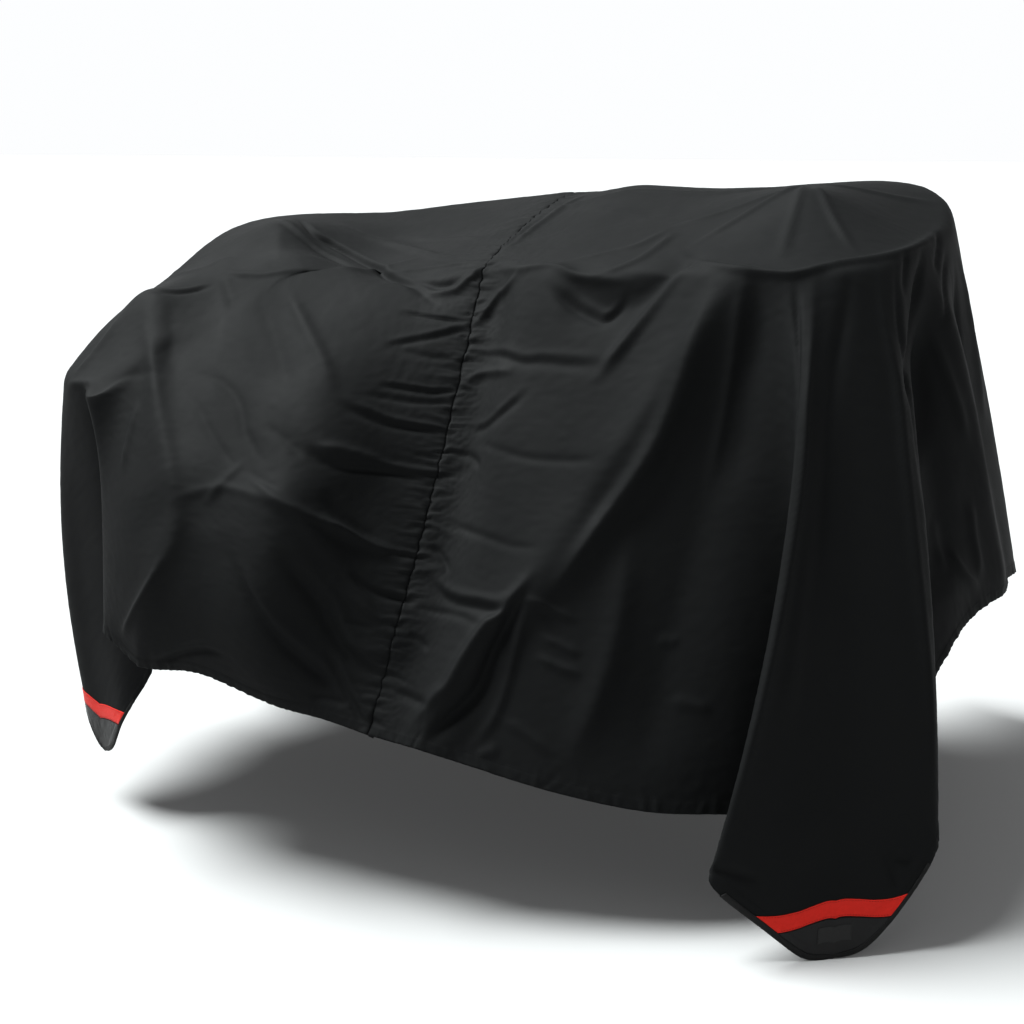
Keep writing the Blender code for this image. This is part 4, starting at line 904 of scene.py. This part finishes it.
class Cloth:
    """The draped and creased cloth as a grid of places and outward directions."""

    def __init__(self):
        draws = np.random.RandomState(SEED)
        left = grid_lines(LEFT_LINES)
        self.seam = len(left) - 1
        self.u = np.concatenate([left, grid_lines(RIGHT_LINES)[1:]])
        self.v = grid_lines(ALONG_LINES)
        u, v = rounded(*np.meshgrid(self.u, self.v, indexing="ij"))
        self.cut = np.stack([u, v], axis=-1)
        places = softened(folded(draped(u, v), u, v), SOFTEN_ACROSS, SOFTEN_ALONG)
        lift = crease_lift(u, v) + gather_lift(u, v, draws) + hem_lift(u, v, draws)
        lift += START_NOISE * softened(draws.standard_normal(u.shape), 1, 1)
        near_seam = SEAM_WAVE * np.exp(-np.abs(u) / SEAM_WAVE_REACH)
        lift += near_seam * seam_wave(v, draws)
        across = np.gradient(places, axis=0)
        across *= (near_seam * seam_wave(v, draws))[..., None]
        across /= np.linalg.norm(np.gradient(places, axis=0), axis=-1, keepdims=True)
        places = places + directions(places) * lift[..., None] + across
        into, _ = hem_distance(u, v)
        at_seam = np.exp(-np.abs(u) / GATHER_SLACK_REACH)
        at_hem = np.exp(-into / HEM_SLACK_REACH) * puckering(u, v)
        slack_v = PLAIN_SLACK + GATHER_SLACK * at_seam + HEM_SLACK * at_hem
        slack_u = PLAIN_SLACK + HEM_SLACK * at_hem
        hold = PLAIN_HOLD * (1 - LOOSER_SHARE * np.maximum(at_seam, at_hem))
        self.places = settled(places, slack_u, slack_v, hold) - np.array(KIT_TOP)
        self.outward = directions(self.places)

    def at(self, u, v, lift):
        """The places of the cut points u, v, lifted off the cloth."""
        return self.at_sharp(*unrounded(u, v), lift)

    def at_sharp(self, u, v, lift):
        """The same for points of the sharp rectangle that the grid fills."""
        at_u = np.interp(u, self.u, np.arange(len(self.u)))
        at_v = np.interp(v, self.v, np.arange(len(self.v)))
        i = np.minimum(at_u.astype(int), len(self.u) - 2)
        j = np.minimum(at_v.astype(int), len(self.v) - 2)
        a, b = (at_u - i)[..., None], (at_v - j)[..., None]

        def read(grid):
            return (
                (1 - a) * (1 - b) * grid[i, j]
                + (1 - a) * b * grid[i, j + 1]
                + a * (1 - b) * grid[i + 1, j]
                + a * b * grid[i + 1, j + 1]
            )

        outward = read(self.outward)
        outward /= np.linalg.norm(outward, axis=-1, keepdims=True)
        return read(self.places) + outward * np.asarray(lift)[..., None]


def add_object(name, data):
    made = bpy.data.objects.new(name, data)
    bpy.context.scene.collection.objects.link(made)
    return made


def add_mesh(name, points, faces, cut, material):
    """A smooth mesh that rides with the cover. cut holds the place of each point on the flat cloth."""
    mesh = bpy.data.meshes.new(name)
    mesh.from_pydata(points.reshape(-1, 3).tolist(), [], faces)
    mesh.materials.append(material)
    attribute = mesh.attributes.new("cut", "FLOAT_VECTOR", "POINT")
    flat = np.zeros((len(mesh.vertices), 3))
    flat[:, :2] = cut.reshape(-1, 2)
    attribute.data.foreach_set("vector", flat.reshape(-1))
    piece = add_object(name, mesh)
    mesh.shade_smooth()
    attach(piece, "root")
    return piece


def grid_faces(columns, rows):
    """Four-sided faces of a grid of points, with the points of a column one after another."""
    i, j = np.meshgrid(np.arange(columns - 1), np.arange(rows - 1), indexing="ij")
    first = (i * rows + j).reshape(-1)
    return np.stack([first, first + rows, first + rows + 1, first + 1], axis=1).tolist()


def tube_faces(rings, sides):
    """Faces of a tube of rings of points, with its two ends."""
    faces = []
    for first in range(0, (rings - 1) * sides, sides):
        for k in range(sides):
            n = (k + 1) % sides
            faces.append((first + k, first + n, first + sides + n, first + sides + k))
    faces.append(tuple(range(sides))[::-1])
    faces.append(tuple(range((rings - 1) * sides, rings * sides)))
    return faces


def turned(faces, side):
    """Faces of a piece that is built the other way round at the left."""
    return [face[::-1] for face in faces] if side < 0 else faces


def thicken(piece, thickness):
    solid = piece.modifiers.new("thickness", "SOLIDIFY")
    solid.thickness = thickness
    solid.offset = 0
    return piece


def hem_turn(cloth, u, v, u_step, v_step, below):
    """Lines of the hem's turned layer, from the edge in. The steps say which way in is."""
    lines = []
    for depth in np.linspace(0, HEM_TURN, HEM_ROWS):
        lift = np.full(u.shape, -below if depth > 0 else -below * EDGE_BELOW_SHARE)
        inner_u, inner_v = u + u_step * depth, v + v_step * depth
        lines.append((cloth.at_sharp(inner_u, inner_v, lift), np.stack([u, v], axis=-1)))
    return lines


def add_panel(name, side, cloth, material):
    """The cloth left (-1) or right (1) of the seam, with its hem and its seam allowance turned under."""
    columns = slice(0, cloth.seam + 1) if side < 0 else slice(cloth.seam, None)
    u, v = cloth.u[columns], cloth.v
    places, cut = cloth.places[columns].copy(), cloth.cut[columns]
    seam, beside = (-1, -2) if side < 0 else (0, 1)
    away = places[beside] - places[seam]
    away /= np.linalg.norm(away, axis=-1, keepdims=True)
    places[seam] += away * SEAM_GAP / 2
    under = LEFT_ALLOWANCE if side < 0 else RIGHT_ALLOWANCE
    allowance = [
        (places[seam] - cloth.outward[cloth.seam] * depth - away * across, cut[seam] - (side * depth, 0))
        for depth, across in under
    ]
    front = hem_turn(cloth, u, np.full(len(u), v[0]), 0, 1, HEM_BELOW)
    back = hem_turn(cloth, u, np.full(len(u), v[-1]), 0, -1, HEM_BELOW)
    outer_u = u[0] if side < 0 else u[-1]
    outer = hem_turn(cloth, np.full(len(v), outer_u), v, -side, 0, SIDE_HEM_BELOW)
    points = np.concatenate([places, cut], axis=-1)
    ends = [np.stack([np.concatenate(line, axis=-1) for line in lines], axis=1) for lines in (front, back)]
    points = np.concatenate([ends[0][:, ::-1], points, ends[1]], axis=1)
    # The turned layers leave the corners of the grid empty.
    gap = np.full((HEM_ROWS, points.shape[2]), np.nan)
    sides = [
        [np.concatenate([gap, np.concatenate(line, axis=-1), gap])[None] for line in lines]
        for lines in (allowance, outer)
    ]
    before, after = (sides[1][::-1], sides[0]) if side < 0 else (sides[0][::-1], sides[1])
    points = np.concatenate([*before, points, *after])
    faces = np.array(grid_faces(*points.shape[:2]))
    points = points.reshape(-1, points.shape[2])
    filled = ~np.isnan(points[:, 0])
    faces = (np.cumsum(filled) - 1)[faces[filled[faces].all(axis=1)]]
    return add_mesh(name, points[filled, :3], faces.tolist(), points[filled, 3:], material)


def corner_point(side, inward, across):
    """The cut point that lies inward of a front corner, and across its diagonal to the side hem."""
    across_width = LEFT_WIDTH if side < 0 else RIGHT_WIDTH
    u = side * (across_width - (inward - across) / math.sqrt(2))
    v = (inward + across) / math.sqrt(2) - FRONT_LENGTH
    return u, v


def outline(run):
    """The points of a front corner's rounded edge and their inward directions, run from its middle."""
    half_arc = CORNER_RADIUS * math.pi / 4
    angle = np.clip(run / half_arc, -1, 1) * math.pi / 4
    straight = np.maximum(np.abs(run) - half_arc, 0) * np.sign(run)
    centre = CORNER_RADIUS * math.sqrt(2)
    inward = centre - CORNER_RADIUS * np.cos(angle) + np.abs(straight) / math.sqrt(2)
    across = CORNER_RADIUS * np.sin(angle) + straight / math.sqrt(2)
    return (inward, across), (np.cos(angle), -np.sin(angle))


def add_flat_trim(name, cells, side, point, lift, cloth, material):
    """A thin piece sewn on a front corner. point gives its cut place at shares a, b of its sides."""
    a, b = np.meshgrid(np.linspace(0, 1, cells[0] + 1), np.linspace(0, 1, cells[1] + 1), indexing="ij")
    u, v = corner_point(side, *point(a, b))
    places = cloth.at(u, v, np.full(u.shape, lift))
    faces = turned(grid_faces(cells[0] + 1, cells[1] + 1), side)
    piece = add_mesh(name, places, faces, np.stack([u, v], axis=-1), material)
    return thicken(piece, TRIM_THICK)


def add_strip(name, side, cloth, material):
    inset = (BINDING_WIDTH + TRIM_GAP) * math.sqrt(2)

    def point(a, b):
        inward = STRIP_FROM_CORNER + b * STRIP_WIDTH
        return inward, (2 * a - 1) * (inward - inset) * side

    lift = TRIM_GAP + TRIM_THICK / 2
    return add_flat_trim(name, STRIP_CELLS, side, point, lift, cloth, material)


def add_patch(name, side, cloth, material):
    """The piece between the strip and the corner's round edge."""
    inset = BINDING_WIDTH + TRIM_GAP
    upper = STRIP_FROM_CORNER - PATCH_TO_STRIP
    half = upper - inset * math.sqrt(2)
    lower_end = upper - PATCH_SIDE - inset / math.sqrt(2)
    reach = CORNER_RADIUS * (math.pi / 4 - 1) + lower_end * math.sqrt(2)

    def point(a, b):
        run = (2 * a - 1) * side
        (inward, across), (turn_in, turn_across) = outline(run * reach)
        low = (inward + turn_in * inset, across + turn_across * inset)
        return (1 - b) * low[0] + b * upper, (1 - b) * low[1] + b * run * half

    lift = TRIM_GAP + TRIM_THICK / 2
    return add_flat_trim(name, PATCH_CELLS, side, point, lift, cloth, material)


def add_label(name, side, cloth, material):
    def point(a, b):
        return LABEL_FROM_CORNER + (b - 0.5) * LABEL_HEIGHT, (a - 0.5) * LABEL_LENGTH * side

    lift = 2 * TRIM_GAP + 1.5 * TRIM_THICK
    return add_flat_trim(name, LABEL_CELLS, side, point, lift, cloth, material)


def add_binding(name, side, cloth, material):
    """A folded tape round the edge of a front corner, swept as a loop of points."""
    clear = TRIM_GAP + BINDING_BELOW
    over = clear + TRIM_THICK
    nose = TRIM_GAP + TRIM_THICK
    upper_side = [(BINDING_WIDTH, clear), (BINDING_WIDTH / 2, clear), (-TRIM_GAP, clear)]
    outer_side = [(BINDING_WIDTH, over)]
    outer_side += [(BINDING_WIDTH * share, over + BINDING_SWELL) for share in BINDING_SWELL_SHARES]
    outer_side += [(0, over)] + [(-nose * out, over * up) for out, up in BINDING_NOSE_SHARES]
    section = upper_side + [(depth, -lift) for depth, lift in reversed(upper_side)]
    section += [(depth, -lift) for depth, lift in outer_side] + list(reversed(outer_side))
    run = np.linspace(-1, 1, BINDING_STEPS + 1) * BINDING_REACH
    (inward, across), (turn_in, turn_across) = outline(run)
    edge_cut = corner_point(side, inward, across)
    inner_cut = corner_point(
        side, inward + turn_in * BINDING_WIDTH, across + turn_across * BINDING_WIDTH
    )
    edge = cloth.at(*edge_cut, np.zeros(run.shape))
    along = (cloth.at(*inner_cut, np.zeros(run.shape)) - edge) / BINDING_WIDTH
    outward = cloth.at(*edge_cut, np.ones(run.shape)) - edge
    rings = [edge + along * depth + outward * (lift - BINDING_BELOW) for depth, lift in section]
    rings = np.stack(rings, axis=1)
    cuts = np.stack([np.stack(edge_cut, axis=-1)] * len(section), axis=1)
    cuts[:, :, 0] += np.array([depth for depth, _ in section])
    faces = turned(tube_faces(len(rings), len(section)), side)
    return add_mesh(name, rings, faces, cuts, material)


def stitches(cloth, u, v, lift):
    """Points and faces of a row of thread stitches laid along a line of close cut points."""
    line = cloth.at(u, v, np.full(u.shape, lift))
    step = np.linalg.norm(np.diff(line, axis=0), axis=1)
    travelled = np.concatenate([[0], np.cumsum(step)])
    starts = np.arange(STITCH_PITCH, travelled[-1] - STITCH_LENGTH, STITCH_PITCH)
    at = starts[:, None] + STITCH_SHARES * STITCH_LENGTH
    middle = np.stack([np.interp(at, travelled, line[:, axis]) for axis in range(3)], axis=-1)
    cut = np.stack([np.interp(at, travelled, u), np.interp(at, travelled, v)], axis=-1)
    outward = cloth.at(cut[..., 0], cut[..., 1], np.full(at.shape, 1.0))
    outward = outward - cloth.at(cut[..., 0], cut[..., 1], np.zeros(at.shape))
    tangent = middle[:, 3] - middle[:, 0]
    tangent /= np.linalg.norm(tangent, axis=-1, keepdims=True)
    aside = np.cross(np.repeat(tangent[:, None], len(STITCH_SHARES), axis=1), outward)
    middle = middle + outward * STITCH_RISES[:, None]
    turn = np.arange(STITCH_SIDES) * 2 * math.pi / STITCH_SIDES
    rings = middle[:, :, None] + STITCH_RADII[None, :, None, None] * (
        np.cos(turn)[:, None] * aside[:, :, None] + np.sin(turn)[:, None] * outward[:, :, None]
    )
    stitch = tube_faces(len(STITCH_SHARES), STITCH_SIDES)
    firsts = range(0, len(starts) * len(STITCH_SHARES) * STITCH_SIDES, len(STITCH_SHARES) * STITCH_SIDES)
    faces = [tuple(first + k for k in face) for first in firsts for face in stitch]
    cuts = np.repeat(cut[:, :, None], STITCH_SIDES, axis=2)
    return rings.reshape(-1, 3), faces, cuts.reshape(-1, 2)


def add_sewing(name, rows, cloth, material):
    """One mesh of several rows of stitches, each given as cut lines u, v and a lift."""
    points, faces, cuts, count = [], [], [], 0
    for u, v, lift in rows:
        row_points, row_faces, row_cuts = stitches(cloth, u, v, lift)
        faces += [tuple(k + count for k in face) for face in row_faces]
        points.append(row_points)
        cuts.append(row_cuts)
        count += len(row_points)
    return add_mesh(name, np.concatenate(points), faces, np.concatenate(cuts), material)


def set_inputs(tree, node, inputs):
    """Sets a node's sockets. Where a value is another node's output, the two are linked."""
    for socket, value in inputs.items():
        if isinstance(value, bpy.types.NodeSocket):
            tree.links.new(value, node.inputs[socket])
        else:
            node.inputs[socket].default_value = value


class Shader:
    """A material whose nodes are added one by one."""

    def __init__(self, name, color, roughness, specular, sheen=0.0, coat=0.0):
        self.material = bpy.data.materials.new(name)
        self.material.use_nodes = True
        self.tree = self.material.node_tree
        self.surface = self.tree.nodes["Principled BSDF"]
        self.set_surface({"Base Color": (*color, 1), "Roughness": roughness})
        self.set_surface({"Specular IOR Level": specular})
        self.set_surface({"Sheen Weight": sheen, "Sheen Roughness": SHEEN_ROUGHNESS})
        self.set_surface({"Coat Weight": coat, "Coat Roughness": COAT_ROUGHNESS})
        self.cut = self.node("ShaderNodeAttribute", {}, attribute_name="cut").outputs["Vector"]
        self.normal = None

    def set_surface(self, inputs):
        set_inputs(self.tree, self.surface, inputs)

    def node(self, kind, inputs, **settings):
        made = self.tree.nodes.new(kind)
        for name, value in settings.items():
            setattr(made, name, value)
        set_inputs(self.tree, made, inputs)
        return made

    def noise(self, scale, detail, **settings):
        inputs = {"Scale": scale, "Detail": detail, "Vector": self.cut}
        return self.node("ShaderNodeTexNoise", inputs, **settings).outputs["Fac"]

    def weave(self, pitch):
        """Plain weave: two crossed waves at the pitch of the threads."""
        inputs = {"Scale": 1 / (pitch * BAND_SCALE) * 2 * math.pi, "Distortion": 0, "Vector": self.cut}
        waves = {}
        for k, direction in enumerate(("X", "Y")):
            wave = self.node("ShaderNodeTexWave", inputs, wave_type="BANDS", bands_direction=direction)
            waves[k] = wave.outputs["Fac"]
        return self.node("ShaderNodeMath", waves, operation="MULTIPLY").outputs["Value"]

    def bump(self, height, distance, strength):
        """Adds the relief of a height from 0 to 1 to the bumps that are there."""
        made = self.node("ShaderNodeBump", {"Strength": strength, "Distance": distance, "Height": height})
        if self.normal:
            set_inputs(self.tree, made, {"Normal": self.normal})
        self.normal = made.outputs["Normal"]
        self.set_surface({"Normal": self.normal})

    def rough(self, value, low, high):
        """Lets the roughness run between low and high with a noise."""
        inputs = {"Value": value, "From Min": NOISE_LOW, "From Max": NOISE_HIGH}
        inputs |= {"To Min": low, "To Max": high}
        self.set_surface({"Roughness": self.node("ShaderNodeMapRange", inputs).outputs["Result"]})

    def tinted(self, value, low, high):
        """Lets the colour run between low and high with a noise."""
        inputs = {"A": (*low, 1), "B": (*high, 1), "Factor": value}
        ramp = self.node("ShaderNodeMix", inputs, data_type="RGBA")
        self.set_surface({"Base Color": ramp.outputs["Result"]})


def cloth_shader():
    made = Shader("cover cloth", CLOTH_COLOR, roughness=0.74, specular=0.075)
    slack = made.noise(scale=7, detail=5)
    crumple = made.noise(scale=26, detail=4, noise_type="RIDGED_MULTIFRACTAL")
    made.tinted(slack, *CLOTH_TINTS)
    made.rough(slack, low=0.68, high=0.78)
    made.bump(crumple, distance=0.0003, strength=0.5)
    made.bump(made.weave(pitch=0.0006), distance=0.00006, strength=0.6)
    made.bump(made.noise(scale=900, detail=2), distance=0.00008, strength=0.5)
    return made.material


def patch_shader():
    made = Shader("corner patch", PATCH_COLOR, roughness=0.32, specular=0.12, coat=0.04)
    crumple = made.noise(scale=60, detail=4, noise_type="RIDGED_MULTIFRACTAL")
    made.bump(crumple, distance=0.0009, strength=0.7)
    made.rough(made.noise(scale=40, detail=3), low=0.24, high=0.40)
    return made.material


def strip_shader():
    made = Shader("red strip", STRIP_COLOR, roughness=0.50, specular=0.12, sheen=0.03)
    made.tinted(made.noise(scale=160, detail=4), *STRIP_TINTS)
    made.bump(made.weave(pitch=0.0012), distance=0.00025, strength=0.9)
    made.bump(made.noise(scale=45, detail=3), distance=0.0008, strength=0.6)
    return made.material


def tape_shader(name, color):
    made = Shader(name, color, roughness=0.6, specular=0.15, sheen=0.03)
    made.bump(made.weave(pitch=0.0010), distance=0.0002, strength=0.9)
    made.rough(made.noise(scale=200, detail=2), low=0.5, high=0.7)
    return made.material


def thread_shader():
    made = Shader("black thread", THREAD_COLOR, roughness=0.7, specular=0.08)
    made.bump(made.noise(scale=3000, detail=1), distance=0.0001, strength=0.5)
    return made.material


def add_camera():
    camera = add_object("camera", bpy.data.cameras.new("camera"))
    camera.location = CAMERA_PLACE
    camera.rotation_euler = Vector(CAMERA_FORWARD).to_track_quat("-Z", "Y").to_euler()
    camera.data.lens = CAMERA_LENS
    camera.data.sensor_width = CAMERA_SENSOR
    camera.data.clip_end = CAMERA_REACH
    bpy.context.scene.camera = camera


def add_key_light():
    """A soft studio light from far off. KEY_DIRECTION points from the cover to the light."""
    light = add_object("key light", bpy.data.lights.new("key light", "SUN"))
    light.rotation_euler = (-Vector(KEY_DIRECTION)).to_track_quat("-Z", "Y").to_euler()
    light.data.energy = KEY_STRENGTH
    light.data.angle = KEY_SPREAD
    light.data.color = KEY_COLOR


def add_world():
    """A pale backdrop all round near the horizon, and a dimmer ceiling over it."""
    world = bpy.data.worlds.new("pale world")
    world.use_nodes = True
    tree = world.node_tree
    direction = tree.nodes.new("ShaderNodeTexCoord")
    parts = tree.nodes.new("ShaderNodeSeparateXYZ")
    set_inputs(tree, parts, {"Vector": direction.outputs["Generated"]})
    strength = tree.nodes.new("ShaderNodeMapRange")
    strength.interpolation_type = "SMOOTHSTEP"
    inputs = {"Value": parts.outputs["Z"], "From Min": BACKDROP_TOP, "From Max": CEILING_FROM}
    inputs |= {"To Min": BACKDROP_STRENGTH, "To Max": CEILING_STRENGTH}
    set_inputs(tree, strength, inputs)
    backdrop = {"Color": BACKDROP_COLOR, "Strength": strength.outputs["Result"]}
    set_inputs(tree, tree.nodes["Background"], backdrop)
    bpy.context.scene.world = world


def add_floor():
    signs = ((-1, -1), (1, -1), (1, 1), (-1, 1))
    corners = [(x * FLOOR_REACH, y * FLOOR_REACH, FLOOR_HEIGHT) for x, y in signs]
    mesh = bpy.data.meshes.new("floor")
    mesh.from_pydata(corners, [], [(0, 1, 2, 3)])
    mesh.materials.append(Shader("floor", FLOOR_COLOR, roughness=0.9, specular=0.1).material)
    floor = add_object("floor", mesh)


def hem_rows(side):
    """Cut lines of the hem's sewing on one panel."""
    width = LEFT_WIDTH if side < 0 else RIGHT_WIDTH
    inner, low, high = width - HEM_TURN, -FRONT_LENGTH + HEM_TURN, BACK_LENGTH - HEM_TURN
    reach = np.linspace(SEWING_END, inner, ACROSS_STEPS)
    up = np.linspace(low, high, ALONG_STEPS)
    return [
        (side * reach, np.full(ACROSS_STEPS, low), HEM_SEWING_LIFT),
        (np.full(ALONG_STEPS, side * inner), up, HEM_SEWING_LIFT),
        (side * reach[::-1], np.full(ACROSS_STEPS, high), HEM_SEWING_LIFT),
    ]


def corner_rows(side):
    """Cut lines of the sewing on a front corner's binding and strip."""
    rows = []
    top = TRIM_GAP + TRIM_THICK
    run = np.linspace(-1, 1, BINDING_SEWING_STEPS) * (BINDING_REACH - SEWING_END)
    for inset in BINDING_SEWING_INSETS:
        (inward, across), (turn_in, turn_across) = outline(run)
        cut = corner_point(side, inward + turn_in * inset, across + turn_across * inset)
        rows.append((*cut, top + BINDING_SEWING_LIFT))
    for into_strip in (STRIP_SEWING_INSET, STRIP_WIDTH - STRIP_SEWING_INSET):
        inward = STRIP_FROM_CORNER + into_strip
        half = inward - STRIP_SEWING_END
        across = np.linspace(-half, half, STRIP_SEWING_STEPS)
        rows.append((*corner_point(side, np.full(STRIP_SEWING_STEPS, inward), across), top))
    return rows


def label_rows(side):
    """Cut lines of the sewing at the label's two ends."""
    half_length = LABEL_LENGTH / 2 - LABEL_SEWING_INSET
    half_height = LABEL_HEIGHT / 2 - LABEL_SEWING_INSET
    top = 2 * TRIM_GAP + 2 * TRIM_THICK
    inward = np.linspace(-half_height, half_height, LABEL_SEWING_STEPS) + LABEL_FROM_CORNER
    ends = [np.full(LABEL_SEWING_STEPS, end * half_length) for end in (-1, 1)]
    return [(*corner_point(side, inward, across), top) for across in ends]


bpy.context.scene.view_settings.view_transform = "Standard"
add_camera()
add_floor()
add_world()
add_key_light()
cloth = Cloth()
black_cloth = cloth_shader()
black_patch = patch_shader()
red_strip = strip_shader()
black_tape = tape_shader("edge binding", TAPE_COLOR)
black_label = tape_shader("blank label", LABEL_COLOR)
black_thread = thread_shader()
for side, word, width in ((-1, "left", LEFT_WIDTH), (1, "right", RIGHT_WIDTH)):
    panel = add_panel("cloth_" + word, side, cloth, black_cloth)
    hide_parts("panel_" + word)
    patch = add_patch("patch_" + word, side, cloth, black_patch)
    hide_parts("corner_patch_" + word)
    strip = add_strip("strip_" + word, side, cloth, red_strip)
    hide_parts("corner_strip_" + word)
    binding = add_binding("binding_" + word, side, cloth, black_tape)
    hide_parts("edge_binding_" + word)
    hem_sewing = add_sewing("hem_sewing_" + word, hem_rows(side), cloth, black_thread)
    trim_sewing = add_sewing("corner_sewing_" + word, corner_rows(side), cloth, black_thread)
    if side > 0:
        label = add_label("label_right", side, cloth, black_label)
        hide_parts("blank_label")
        add_sewing("label_sewing", label_rows(side), cloth, black_thread)
